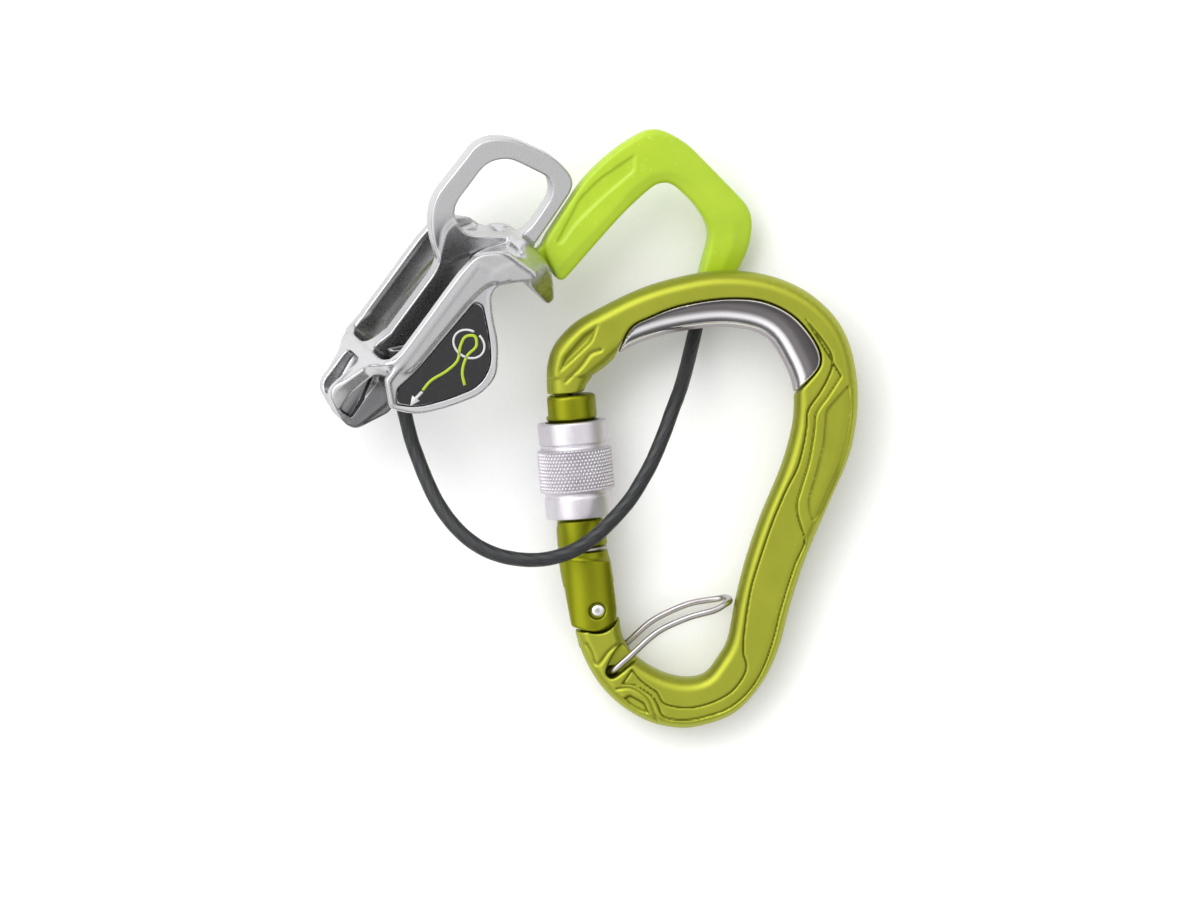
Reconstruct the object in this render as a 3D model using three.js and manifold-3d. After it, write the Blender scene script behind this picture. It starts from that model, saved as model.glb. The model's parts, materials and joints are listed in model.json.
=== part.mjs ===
// Rope descender clipped into its screw-gate locking carabiner, laid flat as one kit.
// Millimetres, +Z up. The origin is the bottom centre of the object's box.
import * as THREE from 'three';
import { mergeVertices } from 'three/addons/utils/BufferGeometryUtils.js';
import Module from 'manifold-3d';

const wasm = await Module();
wasm.setup();

// ---------- driving dimensions ----------
const GAP = 0.3;                    // clearance between pieces that touch
const THROUGH = 40;                 // longer than any piece is thick, for cuts that go through

// carabiner, in its own plane: x right, y up, z out of the plane, zero at the gate rivet
const CARABINER_AT = [1.74, -45.25, 8.14];
const CARABINER_TILT = THREE.MathUtils.degToRad(4.4);
const FRAME_THICKNESS = 12.2;
const EDGE_ROUND = 3.0;             // how far the forged edge round reaches in from the outline
const EDGE_DEPTH = 4.2;             // how far that round reaches down from the face
const INSERT_TONGUE = 6.4;          // rib of the frame inside the steel insert
const RIB_SET_BACK = 1.7;           // how far that rib lies behind the bow's inner edge

// gate, in the gate's own frame: y along the gate, zero at the rivet
const GATE_LEAN = THREE.MathUtils.degToRad(4.7);
const GATE_AXIS_X = -2.4;
const GATE_RADIUS = 6.35;
const GATE_CORE_RADIUS = 5.7;
const GATE_TOP = 54.2;
const COLLAR_BOTTOM = 48.0;
const THREAD_BOTTOM = 22.8;
const HINGE_RADIUS = 5.3;
const TONGUE_THICKNESS = 5.4;
const RIVET_RADIUS = 2.0;
const RIVET_HALF = 6.1;             // half the rivet's length
const PLUNGER_RADIUS = 1.6;
const PLUNGER_X = -0.9;             // the line of the plunger and its spring
const SLEEVE_BOTTOM = 23.4;
const SLEEVE_TOP = 47.5;
const KNURL_BOTTOM = 30.4;
const KNURL_TOP = 40.4;
const KNURL_RADIUS = 9.3;
const SLEEVE_TOP_RADIUS = 8.65;
const SLEEVE_LOW_RADIUS = 8.35;
const SLEEVE_BORE = 6.75;
const BUSH_RADIUS = 6.95;
const BUSH_LENGTH = 8;
const STOP_RING_AT = 15.4;
const STOP_RING_RADIUS = 6.35;
const STOP_RING_WIRE = 0.4;
const KEEPER_WIRE = 0.82;           // radius of the keeper's spring wire
const KEEPER_HALF_WIDTH = 4.9;
const KEEPER_FRONT = [3.7, -15.4];  // where each leg enters the frame
const KEEPER_BACK = [2.3, -13.4];

// descender: x from the nose to the rear, y across the slots, z out of the slots
const DEVICE_AT = [-46.51, 28.65, 24.83];
const DEVICE_X = new THREE.Vector3(0.59922, 0.79896, 0.05091);
const DEVICE_Z = new THREE.Vector3(-0.71559, 0.50601, 0.48154);
const BODY_HALF = 16;               // half the body's width
const WALL = 2.5;                   // thickness of each side wall
const WEB = 3.8;                    // thickness of the centre web and of the guide eye
const FIN_FACE = 15.4;              // outer face of the side fins, a little below the walls'
const FIN_THICKNESS = 1.9;
const FLANGE_AT = 3.6;              // middle plane of the flange on each side of the nose
const FLANGE_THICKNESS = 1.6;
const NOSE_HALF = 4.2;
const LABEL_DEPTH = 0.6;
const SLOT_FRONT = -12;
const SLOT_REAR = 20.5;
const SLOT_END_REACH = 6;           // how far the rounded front ends of the slots reach back

// thumb handle: its plane leans out of the body's middle plane about the lug
const HANDLE_LINE_Z = -17;          // the two planes cross on this line
const HANDLE_LEAN = THREE.MathUtils.degToRad(9);
const HANDLE_THICKNESS = 6.8;
const TANG_THICKNESS = 3.0;
const TANG_PIN_RADIUS = 1.1;
const TANG_PIN_AT = [25.6, -20.6];
const CORE_RADIUS = 1.1;
const CORE_LINE = [
  [42, -23.6], [52, -24.4], [62, -26.4], [68.6, -29.4], [70.4, -36], [69.0, -46], [67.4, -54], [63, -58],
];
const HANDLE_END_IN = [53.2, -60.4];  // where the cable's bore ends inside the handle

// keeper cable: from the ferrule under the body, over the gate, under the bow, to the handle
const CABLE_RADIUS = 1.8;
const FERRULE_RADIUS = 2.9;
const CABLE_ROUTE = [
  [-48.0, 8.7, 17.9], [-46.8, 5.5, 16.6], [-46.1, 3.0, 15.9], [-44.6, -3.0, 15.6],
  [-42.8, -8.0, 16.3], [-40.8, -13.0, 17.4], [-38.1, -18.5, 18.7], [-34.6, -23.5, 20.0],
  [-30.6, -27.5, 21.1], [-26.3, -30.3, 21.9], [-21.3, -32.1, 22.5], [-15.1, -32.9, 23.0],
  [-10.1, -32.5, 23.1], [-5.1, -31.0, 23.1], [-0.1, -28.1, 23.0], [5.2, -23.3, 23.0],
  [10.0, -17.8, 22.8], [13.0, -13.0, 22.4], [15.3, -8.8, 22.1], [18.6, -1.0, 21.0],
  [20.5, 4.3, 18.9], [22.4, 9.3, 15.4], [23.9, 14.3, 10.9], [25.2, 19.5, 6.9],
  [26.1, 23.3, 5.3], [27.0, 27.1, 4.3], [27.9, 30.7, 4.0], [28.4, 32.9, 4.0],
];
const CABLE_STEPS = 66;
const CABLE_SIDES = 8;

// ---------- outlines of the carabiner ----------
const FRAME_OUTER = [
  [-13.2, 48.0], [-12.7, 54.0], [-12.5, 61.0], [-11.0, 65.8], [-6.0, 71.5], [0.8, 75.5],
  [10.8, 80.3], [20.8, 83.3], [30.8, 84.8], [42.0, 83.8], [52.0, 79.8], [59.5, 73.2], [63.3, 66.0],
  [65.2, 54.8], [64.5, 44.8], [62.8, 37.8], [58.3, 27.3], [52.0, 12.3], [48.5, 1.5],
  [45.3, -10.3], [41.3, -18.5], [34.5, -26.0], [25.8, -29.3], [20.8, -29.8], [13.3, -28.3],
  [5.8, -24.0], [0.3, -18.3], [-3.5, -11.5], [-5.9, -4.0], [-7.0, 2.0],
];
const FRAME_INNER = [
  [5.5, 2.0], [5.7, -2.8], [6.8, -7.8], [9.5, -11.5], [13.3, -14.3], [18.3, -16.5],
  [23.3, -17.1], [27.0, -16.0], [30.0, -12.3], [32.3, -8.3], [34.5, 2.3], [37.0, 12.3],
  [40.8, 23.5], [45.3, 34.3], [47.5, 41.0], [49.0, 48.5], [48.8, 56.0], [46.5, 62.0],
  [42.0, 68.3], [33.0, 70.7], [20.0, 69.5], [12.0, 67.3], [6.0, 64.4], [2.8, 61.5],
  [-1.0, 58.3], [-3.1, 55.3], [-3.3, 48.0],
];
const INSERT_OUTER = [
  [4.9, 63.6], [6.3, 67.0], [8.9, 71.2], [13.3, 73.5], [20.8, 76.3], [33.3, 78.1], [42.0, 77.3],
  [49.5, 73.3], [55.3, 65.4], [55.6, 61.6], [52.4, 57.2], [48.4, 53.4],
];
const INSERT_INNER = [[46.0, 50.0], [40.0, 50.0], [20.0, 55.0], [6.0, 58.0]];
// the stretch of FRAME_INNER that the insert lies on
const BOW_FROM = 14;
const BOW_TO = 25;
// outline of the keeper's pocket, from the leg's hole
const KEEPER_POCKET = [
  [-1.5, -0.7], [-0.2, -1.7], [1.4, -1.0], [9.5, 5.6], [9.5, 9.4], [3.6, 7.6], [1.0, 5.8], [-1.2, 1.6],
];

// ---------- outlines of the descender ----------
// outlines are in x-z of the device: x along the slots, z out of them
const WALL_OUTLINE = [
  [-15.6, 4.6, 1.5], [-10, 1.6, 4], [18, 1.8, 6], [23.6, 1.0, 4], [32.8, -11.4, 3],
  [32.0, -15.4, 2], [26.6, -16.6, 3], [24.0, -12.6, 2], [19.6, -5.8, 3], [13, -4.4, 6],
  [-9.6, -3.2, 3], [-14.6, -0.6, 2], [-16.6, 2.4, 1],
];
const FIN_OUTLINE = [
  [-15.6, 0.5, 1], [22.0, 0.5, 1], [23.6, -10.2, 1.5], [17.6, -8.4, 2], [12.8, -13.0, 5], [8.8, -18.4, 5],
  [1.4, -24.0, 4], [-4.6, -23.4, 4], [-12, -18.2, 6], [-18, -12.4, 6], [-20.6, -5.2, 1.5],
];
const LABEL_OUTLINE = [
  [-15.4, -3.4, 0.8], [-9, -4.8, 2], [13.4, -6.2, 1.2], [14.0, -8.6, 2], [8.0, -16.0, 4],
  [2.6, -21.0, 3], [-3.4, -21.6, 3], [-10.8, -16.4, 4], [-16.4, -11.0, 3], [-18.8, -5.8, 1],
];
const WEB_OUTLINE = [
  [-15, 0.4, 1], [14, 0.6, 3], [24, 6, 3], [34, 0, 6], [33, -11, 1], [31.4, -15.6, 2],
  [27.2, -17.6, 2], [21, -9.6, 3], [-4, -8.4, 1], [-8, -10.2, 2], [-12.4, -9.2, 2], [-13.4, -4.6, 2],
];
const REAR_OUTLINE = [
  [30.2, -9.6, 1], [33.0, -11.4, 2], [32.4, -17.6, 3], [29.2, -24.6, 3], [24.8, -30.2, 1.2],
  [22.7, -29.3, 1], [23.4, -23.6, 3], [24.3, -18.2, 2], [26.6, -14.8, 2], [28.4, -12.0, 2],
];
const REAR_TAPER = [
  [-17, 5, 1], [17, 5, 1], [17, -13.5, 2], [9.5, -19.5, 6], [3.4, -31, 2], [-3.4, -31, 2],
  [-9.5, -19.5, 6], [-17, -13.5, 2],
];
const EYE_OUTER = [
  [15.3, 0.9, 3], [20.5, 8.4, 6], [27.0, 13.0, 6], [46.4, 12.6, 9], [51.2, 6.0, 7], [53.8, -8.0, 6],
  [51.6, -16.4, 5], [44, -16.9, 6], [31.5, -17.4, 2], [28.0, -8, 3],
];
const EYE_HOLE = [
  [24.6, 0.6, 5], [28.0, 7.4, 4], [42.6, 7.4, 7], [46.8, 3.2, 5], [48.8, -9.6, 5], [45.4, -13.2, 4],
  [33.4, -13.8, 4],
];
const NOSE_OUTLINE = [
  [-12.5, 4.2, 1], [-16.5, 3.9, 2], [-26.8, 5.6, 3.5], [-31.0, -3.4, 3], [-30.4, -7.0, 2],
  [-21.4, -12.0, 2], [-12.5, -7.6, 1],
];
// the deck over the nose widens towards the slots and holds an open pocket; both are drawn in x-y
const NOSE_DECK = [
  [-12.6, 4.2, 1], [-16.5, 3.9, 2], [-26.8, 5.6, 3.5], [-30.3, -2.0, 1], [-27.6, -0.6, 1],
  [-12.6, -0.6, 0.5],
];
const DECK_PLAN = [
  [-32, -2.9, 2], [-32, 2.9, 2], [-24, 4.8, 4], [-15.6, 9.2, 3], [-12.6, 11.4, 0.5],
  [-12.6, -11.4, 0.5], [-15.6, -9.2, 3], [-24, -4.8, 4],
];
const POCKET_PLAN = [
  [-28.4, -1.5, 1.5], [-28.4, 1.5, 1.5], [-22, 2.7, 4], [-15.4, 4.6, 2.5], [-15.4, -4.6, 2.5],
  [-22, -2.7, 4],
];
const POCKET_FLOOR = 0.7;
const POCKET_HEIGHT = 14;

// the handle is drawn in its own plane, with x as the device's and z down the leaning plane
const HANDLE_OUTLINE = [
  [33.3, -19.2, 3.5], [52.6, -17.7, 6], [60, -18.8, 4], [67.5, -21.0, 5], [74.2, -24.4, 6],
  [76.0, -33.0, 6], [74.0, -46.0, 8], [72.0, -58.4, 6], [65.0, -63.2, 6], [50.2, -66.2, 3.4],
  [47.4, -59.4, 3.4], [54.0, -56.4, 4], [61.4, -53.4, 5], [64.6, -46.0, 6], [65.9, -34.0, 5],
  [54.0, -31.2, 6], [38.0, -29.8, 5], [28.3, -29.2, 3.5],
];
const TANG_OUTLINE = [
  [38, -20.4, 1], [38, -25.6, 1], [30, -24.0, 1], [24.4, -23.0, 2], [23.6, -18.8, 2], [29, -18.4, 1],
];
const TANG_SLOT = [[38, -17.6], [38, -26.6], [22, -24.4], [22, -17.6]];
// the ferrule under the body: its top, the end of its boss, and the mouth of its bore
const FERRULE_TOP = [-7.6, 0, -5.2];
const FERRULE_END = [-12.0, 0, -9.8];
const FERRULE_MOUTH = [-15.0, 0, -12.94];
const ANCHOR_AT = [-9.6, 0, -7.3];
const ANCHOR_RADIUS = 1.0;
// the plan outline of what is taken off a front corner of the body
const FRONT_CORNER = [
  [-16.6, 8.0, 0.1], [-16.6, 8.5, 0.4], [-11.0, 16.4, 3], [-10.0, 16.4, 0.1], [-10.0, 20, 0.1],
  [-20, 20, 0.1], [-20, 8.0, 0.1],
];
const BRIDGE_OUTLINE = [
  [SLOT_REAR, -5.0, 2], [24.0, -6.0, 3], [30.6, -11.4, 2], [30.6, -14.4, 2], [26.6, -15.0, 3],
  [24.4, -12.8, 2], [SLOT_REAR, -9.6, 3],
];
const FRONT_RIM_OUTLINE = [
  [-16.4, 2.4, 1], [-15.4, 4.4, 1.5], [SLOT_FRONT, 2.6, 2], [SLOT_FRONT + SLOT_END_REACH, 0.5, 1],
  [SLOT_FRONT + SLOT_END_REACH, -4.2, 1], [-14.6, -4.6, 1],
];
const FLANGE_OUTLINE = [
  [-13, -1, 1], [-17.6, -3.6, 1], [-30.2, -4.0, 1], [-30.0, -6.6, 1], [-20.6, -9.4, 1], [-13, -8, 1],
];

// ---------- solids ----------
function solid(geometry) {
  geometry.deleteAttribute('normal');
  geometry.deleteAttribute('uv');
  const merged = mergeVertices(geometry, 1e-4);
  return new wasm.Manifold(new wasm.Mesh({
    numProp: 3,
    vertProperties: new Float32Array(merged.attributes.position.array),
    triVerts: new Uint32Array(merged.index.array),
  }));
}

function geometryOf(body) {
  const mesh = body.getMesh();
  const geometry = new THREE.BufferGeometry();
  geometry.setAttribute('position', new THREE.BufferAttribute(mesh.vertProperties, 3));
  geometry.setIndex(new THREE.BufferAttribute(mesh.triVerts, 1));
  return geometry;
}

const union = (...bodies) => bodies.reduce((whole, body) => whole.add(body));

// a smooth run of points through a few given ones
function smooth(points, count) {
  const curve = new THREE.CatmullRomCurve3(
    points.map(([x, y]) => new THREE.Vector3(x, y, 0)), false, 'centripetal');
  return curve.getSpacedPoints(count).map((p) => [p.x, p.y]);
}

// a polygon whose corners are rounded; a corner may carry its own radius as a third number
function rounded(points, radius = 1) {
  const shape = new THREE.Shape();
  const count = points.length;
  for (let i = 0; i < count; i++) {
    const before = new THREE.Vector2(...points[(i + count - 1) % count].slice(0, 2));
    const corner = new THREE.Vector2(...points[i].slice(0, 2));
    const after = new THREE.Vector2(...points[(i + 1) % count].slice(0, 2));
    const reach = Math.min(points[i][2] ?? radius,
      corner.distanceTo(before) * 0.48, corner.distanceTo(after) * 0.48);
    const start = corner.clone().add(before.sub(corner).setLength(reach));
    const end = corner.clone().add(after.sub(corner).setLength(reach));
    if (i === 0) shape.moveTo(start.x, start.y);
    else shape.lineTo(start.x, start.y);
    shape.quadraticCurveTo(corner.x, corner.y, end.x, end.y);
  }
  shape.closePath();
  return shape;
}

function polygon(points) {
  return new THREE.Shape(points.map(([x, y]) => new THREE.Vector2(x, y)));
}

function disc(x, y, radius) {
  const shape = new THREE.Shape();
  shape.absarc(x, y, radius, 0, Math.PI * 2, false);
  return shape;
}

// a plate of the x-y outline, centred on z = 0, with optional rounded edges
function plate(shape, thickness, { bevel = 0, depth = bevel, segments = 2, curve = 5 } = {}) {
  const geometry = new THREE.ExtrudeGeometry(shape, {
    depth: thickness - 2 * depth,
    bevelEnabled: bevel > 0,
    bevelSize: bevel,
    bevelOffset: -bevel,
    bevelThickness: depth,
    bevelSegments: segments,
    curveSegments: curve,
  });
  geometry.translate(0, 0, depth - thickness / 2);
  return solid(geometry);
}

// the same plate stood up: its outline is in x-z and it is centred on y
function upright(shape, thickness, y, options) {
  return turn(plate(shape, thickness, options), [Math.PI / 2, 0, 0], [0, y, 0]);
}

function place(body, matrix) {
  const geometry = geometryOf(body);
  geometry.applyMatrix4(matrix);
  return solid(geometry);
}

function turn(body, [rx, ry, rz], [x, y, z]) {
  const matrix = new THREE.Matrix4().makeRotationFromEuler(new THREE.Euler(rx, ry, rz));
  return place(body, matrix.setPosition(x, y, z));
}

function box(x0, x1, y0, y1, z0, z1) {
  const geometry = new THREE.BoxGeometry(x1 - x0, y1 - y0, z1 - z0);
  geometry.translate((x0 + x1) / 2, (y0 + y1) / 2, (z0 + z1) / 2);
  return solid(geometry);
}

// a turned solid about the y axis from [radius, y] pairs that start and end on the axis
function turned(profile, sides = 32) {
  return solid(new THREE.LatheGeometry(profile.map(([r, y]) => new THREE.Vector2(r, y)), sides));
}

function rod(radius, bottom, top, sides = 24) {
  return turned([[0, bottom], [radius, bottom], [radius, top], [0, top]], sides);
}

function along(from, to, radius, sides = 16) {
  const start = new THREE.Vector3(...from);
  const span = new THREE.Vector3(...to).sub(start);
  const turnTo = new THREE.Quaternion().setFromUnitVectors(
    new THREE.Vector3(0, 1, 0), span.clone().normalize());
  return place(rod(radius, 0, span.length(), sides), new THREE.Matrix4().compose(
    start, turnTo, new THREE.Vector3(1, 1, 1)));
}

function tube(curve, radius, steps, sides) {
  const section = new THREE.Shape();
  for (let i = 0; i < sides; i++) {
    const angle = (i + 0.5) * Math.PI * 2 / sides;
    const point = [radius * Math.cos(angle), radius * Math.sin(angle)];
    if (i === 0) section.moveTo(...point);
    else section.lineTo(...point);
  }
  section.closePath();
  return new THREE.ExtrudeGeometry(section, { steps, extrudePath: curve });
}

// ---------- materials and nodes ----------
const finish = (color, roughness, metalness) =>
  new THREE.MeshStandardMaterial({ color, roughness, metalness });
const ANODISED = finish(0xa5aa32, 0.4, 0.8);
const ANODISED_DARK = finish(0x7d8218, 0.4, 0.8);
const LILAC_GREY = finish(0xbeb9be, 0.45, 0.8);
const STEEL = finish(0xc8c8ca, 0.25, 1);
const WIRE_STEEL = finish(0xb4b4b4, 0.3, 1);
const LIME_PLASTIC = finish(0xaacd2d, 0.4, 0);
const CHARCOAL = finish(0x37373c, 0.7, 0);
const CABLE_BLACK = finish(0x3c3e3e, 0.5, 0);

function node(parent, name, body, material) {
  const geometry = body.isBufferGeometry ? body : geometryOf(body);
  const mesh = new THREE.Mesh(geometry, material);
  mesh.name = name;
  parent.add(mesh);
  return mesh;
}

// ---------- carabiner ----------
// both ends of the blank run on past their cuts
function frameOutline() {
  return polygon([[-14.2, 40], ...smooth(FRAME_OUTER, 76), [-9.6, 12], [5.3, 12],
    ...smooth(FRAME_INNER, 66), [-2.6, 40]]);
}

function insertPrism(grow, thickness) {
  const outer = smooth(INSERT_OUTER, 36).map(([x, y]) => {
    const away = new THREE.Vector2(x - 30, y - 62).setLength(grow);
    return [x + away.x, y + away.y];
  });
  return plate(polygon([...outer, ...INSERT_INNER].reverse()), thickness);
}

function frameBlank() {
  return plate(frameOutline(), FRAME_THICKNESS,
    { bevel: EDGE_ROUND, depth: EDGE_DEPTH, segments: 3 });
}

// the rib that carries the insert follows the bow, set back from its inner edge
function insertRib(setBack, thickness) {
  const inner = smooth(FRAME_INNER.slice(BOW_FROM, BOW_TO), 30).map(([x, y]) => {
    const away = new THREE.Vector2(x - 27, y - 52).setLength(setBack);
    return [x + away.x, y + away.y];
  });
  const far = [[4.0, 74.0], [20.0, 80.0], [42.0, 80.5], [60.0, 66.0], [56.0, 46.0]];
  return plate(polygon([...inner, ...far]), thickness);
}

// what is drawn in the gate's own frame goes into the carabiner's through this matrix
const GATE_MATRIX = new THREE.Matrix4().makeRotationZ(GATE_LEAN);

function carabinerFrame() {
  const reach = 30;
  let body = frameBlank();
  const seat = insertPrism(GAP, THROUGH).subtract(insertRib(RIB_SET_BACK, INSERT_TONGUE));
  body = body.subtract(seat);
  // the nose ends above the gate, and is turned down so that the locked sleeve passes over it
  const noseTurned = turned([[SLEEVE_BORE - 0.5, 40], [30, 40], [30, 61], [SLEEVE_BORE - 0.5, 58.6],
    [SLEEVE_BORE - 0.5, 40]], 40).translate(GATE_AXIS_X, 0, 0);
  const noseCut = box(-reach, 4.4, 30, GATE_TOP + 0.6, -10, 10);
  // the hinge end steps down to a tongue round the rivet
  const cheekRoom = box(-12, 12, -1.4, 30, -20, 20).add(
    plate(disc(0, 0, HINGE_RADIUS + 0.45), THROUGH, { curve: 16 })).add(
    plate(rounded([[-12, -0.9], [-12, -4.1], [-3, -5.2], [0, -0.9]], 0.2), THROUGH));
  const tongue = plate(disc(0, 0, 4.9), TONGUE_THICKNESS, { curve: 14 }).add(
    plate(polygon([[-4.6, 0], [-5.2, -9], [5.0, -9], [4.6, 0]]), TONGUE_THICKNESS));
  const rivetHole = turn(rod(RIVET_RADIUS + GAP, -10, 10), [Math.PI / 2, 0, 0], [0, 0, 0]);
  body = body.subtract(place(union(noseTurned, noseCut), GATE_MATRIX));
  body = body.subtract(place(cheekRoom, GATE_MATRIX));
  body = body.add(place(tongue, GATE_MATRIX)).subtract(place(rivetHole, GATE_MATRIX));
  // the key under the nose, which the closed gate's slot takes in
  const key = plate(rounded([[-6.8, 57], [-6.4, 50.3], [-3.0, 50.3], [-2.4, 57]], 0.7), 4.0);
  body = body.add(place(key, GATE_MATRIX));
  for (const [side, x, y] of [[1, ...KEEPER_FRONT], [-1, ...KEEPER_BACK]]) {
    const hole = turn(rod(KEEPER_WIRE + 2 * GAP, 0, 6, 12), [side * Math.PI / 2, 0, 0],
      [x, y, side * 2.2]);
    // the pocket in the face lets the leg lie under the face and swing up
    const floor = KEEPER_HALF_WIDTH - KEEPER_WIRE - 2 * GAP;
    const pocket = plate(rounded(KEEPER_POCKET, 1), 10, { curve: 3 })
      .translate(x, y, side * (floor + 5));
    body = body.subtract(hole).subtract(pocket);
  }
  return body;
}

function bowInsert() {
  return frameBlank().intersect(insertPrism(0, THROUGH))
    .subtract(insertRib(RIB_SET_BACK - GAP, INSERT_TONGUE + 2 * GAP));
}

function gateBody() {
  const outline = rounded([[-8.6, 23], [-8.7, 12], [-7.4, 3], [-6.7, -3.5, 0.6], [-3.6, -4.6, 1],
    [0, -5.3, 2], [4.2, -3.6, 2.4], [5.3, 0, 1.6], [4.3, 12], [3.9, 23]], 3);
  const lower = rod(GATE_RADIUS, -8, THREAD_BOTTOM, 36).translate(GATE_AXIS_X, 0, 0)
    .add(rod(GATE_RADIUS, -8, 12, 36).translate(-0.6, 0, 0))
    .intersect(plate(outline, 20, { curve: 6 }));
  const upper = turned([[0, 12], [GATE_CORE_RADIUS, 12], [GATE_CORE_RADIUS, COLLAR_BOTTOM - 0.6],
    [GATE_RADIUS, COLLAR_BOTTOM], [GATE_RADIUS, GATE_TOP - 1.2], [GATE_RADIUS - 1.2, GATE_TOP],
    [0, GATE_TOP]], 36).translate(GATE_AXIS_X, 0, 0);
  let body = union(lower, upper);
  // slot for the frame's tongue
  body = body.subtract(box(-12, 12, -10, 6.2, -TONGUE_THICKNESS / 2 - GAP, TONGUE_THICKNESS / 2 + GAP));
  // bore of the spring and the plunger
  body = body.subtract(rod(PLUNGER_RADIUS + GAP, 4, 20, 16).translate(PLUNGER_X, 0, 0));
  // rivet bore
  body = body.subtract(turn(rod(RIVET_RADIUS + GAP, -10, 10), [Math.PI / 2, 0, 0], [0, 0, 0]));
  // slot for the frame's key, open to the outside of the loop
  body = body.subtract(box(-14, -1.6, 49.1, 60, -2.3, 2.3));
  // a turned groove that the stop ring sits in
  const groove = turned([[5.75, STOP_RING_AT - 0.7], [9, STOP_RING_AT - 0.7], [9, STOP_RING_AT + 0.7],
    [5.75, STOP_RING_AT + 0.7], [5.75, STOP_RING_AT - 0.7]], 36).translate(GATE_AXIS_X, 0, 0);
  return body.subtract(groove);
}

function rivet() {
  const half = RIVET_HALF;
  const profile = [[0, -half], [1.5, -half], [2.1, -half + 0.5], [RIVET_RADIUS, -half + 1],
    [RIVET_RADIUS, half - 1], [2.1, half - 0.5], [1.5, half], [0, half]];
  return turn(turned(profile, 20), [Math.PI / 2, 0, 0], [0, 0, 0]);
}

function plunger() {
  return turned([[0, 5.35], [1.0, 5.5], [PLUNGER_RADIUS, 6.4], [PLUNGER_RADIUS, 10.5], [0, 10.5]], 16)
    .translate(PLUNGER_X, 0, 0);
}

class Helix extends THREE.Curve {
  constructor(radius, bottom, top, turns) {
    super();
    Object.assign(this, { radius, bottom, top, turns });
  }
  getPoint(t) {
    const angle = t * this.turns * Math.PI * 2;
    return new THREE.Vector3(this.radius * Math.cos(angle),
      this.bottom + (this.top - this.bottom) * t, this.radius * Math.sin(angle));
  }
}

function gateSpring() {
  const curve = new Helix(1.15, 12.1, 19.3, 6);
  return tube(curve, 0.28, 60, 6).translate(PLUNGER_X, 0, 0);
}

function threadBush() {
  const inner = GATE_CORE_RADIUS + GAP;
  return turned([[inner, SLEEVE_BOTTOM + 0.4], [BUSH_RADIUS, SLEEVE_BOTTOM + 0.4],
    [BUSH_RADIUS, SLEEVE_BOTTOM + 0.4 + BUSH_LENGTH], [inner, SLEEVE_BOTTOM + 0.4 + BUSH_LENGTH],
    [inner, SLEEVE_BOTTOM + 0.4]], 36);
}

function screwSleeve() {
  const bushBore = BUSH_RADIUS + GAP;
  const bushTop = SLEEVE_BOTTOM + 0.4 + BUSH_LENGTH + GAP;
  const profile = [
    [bushBore, SLEEVE_BOTTOM], [SLEEVE_LOW_RADIUS - 0.3, SLEEVE_BOTTOM],
    [SLEEVE_LOW_RADIUS, SLEEVE_BOTTOM + 0.3], [SLEEVE_LOW_RADIUS, 28.6], [8.1, 29.0], [8.1, 29.8],
    [KNURL_RADIUS, KNURL_BOTTOM], [KNURL_RADIUS, KNURL_TOP], [8.3, 40.9], [8.3, 41.9], [8.7, 42.2],
    [SLEEVE_TOP_RADIUS, SLEEVE_TOP - 0.3], [SLEEVE_TOP_RADIUS - 0.3, SLEEVE_TOP],
    [SLEEVE_BORE, SLEEVE_TOP], [SLEEVE_BORE, bushTop], [bushBore, bushTop],
    [bushBore, SLEEVE_BOTTOM],
  ];
  return turned(profile, 48);
}

class StopRing extends THREE.Curve {
  getPoint(t) {
    const angle = 0.45 + t * (Math.PI * 2 - 0.9);
    return new THREE.Vector3(STOP_RING_RADIUS * Math.cos(angle), STOP_RING_AT,
      STOP_RING_RADIUS * Math.sin(angle));
  }
}

function keeperCurve() {
  const legs = [KEEPER_FRONT, [8.3, -11.4], [13.4, -6.7], [16.6, -4.5], [23.3, -1.6], [29.6, 0.2]];
  const back = [[29.6, 2.0], [23.3, 0.9], [16.6, -1.9], [13.2, -3.9], [7.8, -8.7], KEEPER_BACK];
  const w = KEEPER_HALF_WIDTH;
  const points = [
    new THREE.Vector3(...KEEPER_FRONT, 2.6),
    new THREE.Vector3(legs[0][0] + 0.2, legs[0][1] + 0.1, w - 0.9),
    new THREE.Vector3(legs[0][0] + 1.2, legs[0][1] + 1.0, w),
    ...legs.slice(1).map(([x, y]) => new THREE.Vector3(x, y, w)),
    new THREE.Vector3(32.0, 1.5, w - 1.2), new THREE.Vector3(33.0, 2.0, 1.6),
    new THREE.Vector3(33.0, 2.4, -1.6), new THREE.Vector3(32.0, 2.5, 1.2 - w),
    ...back.slice(0, -1).map(([x, y]) => new THREE.Vector3(x, y, -w)),
    new THREE.Vector3(back[5][0] + 1.2, back[5][1] + 1.0, -w),
    new THREE.Vector3(back[5][0] + 0.2, back[5][1] + 0.1, 0.9 - w),
    new THREE.Vector3(back[5][0], back[5][1], -2.6),
  ];
  return new THREE.CatmullRomCurve3(points, false, 'centripetal');
}

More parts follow.
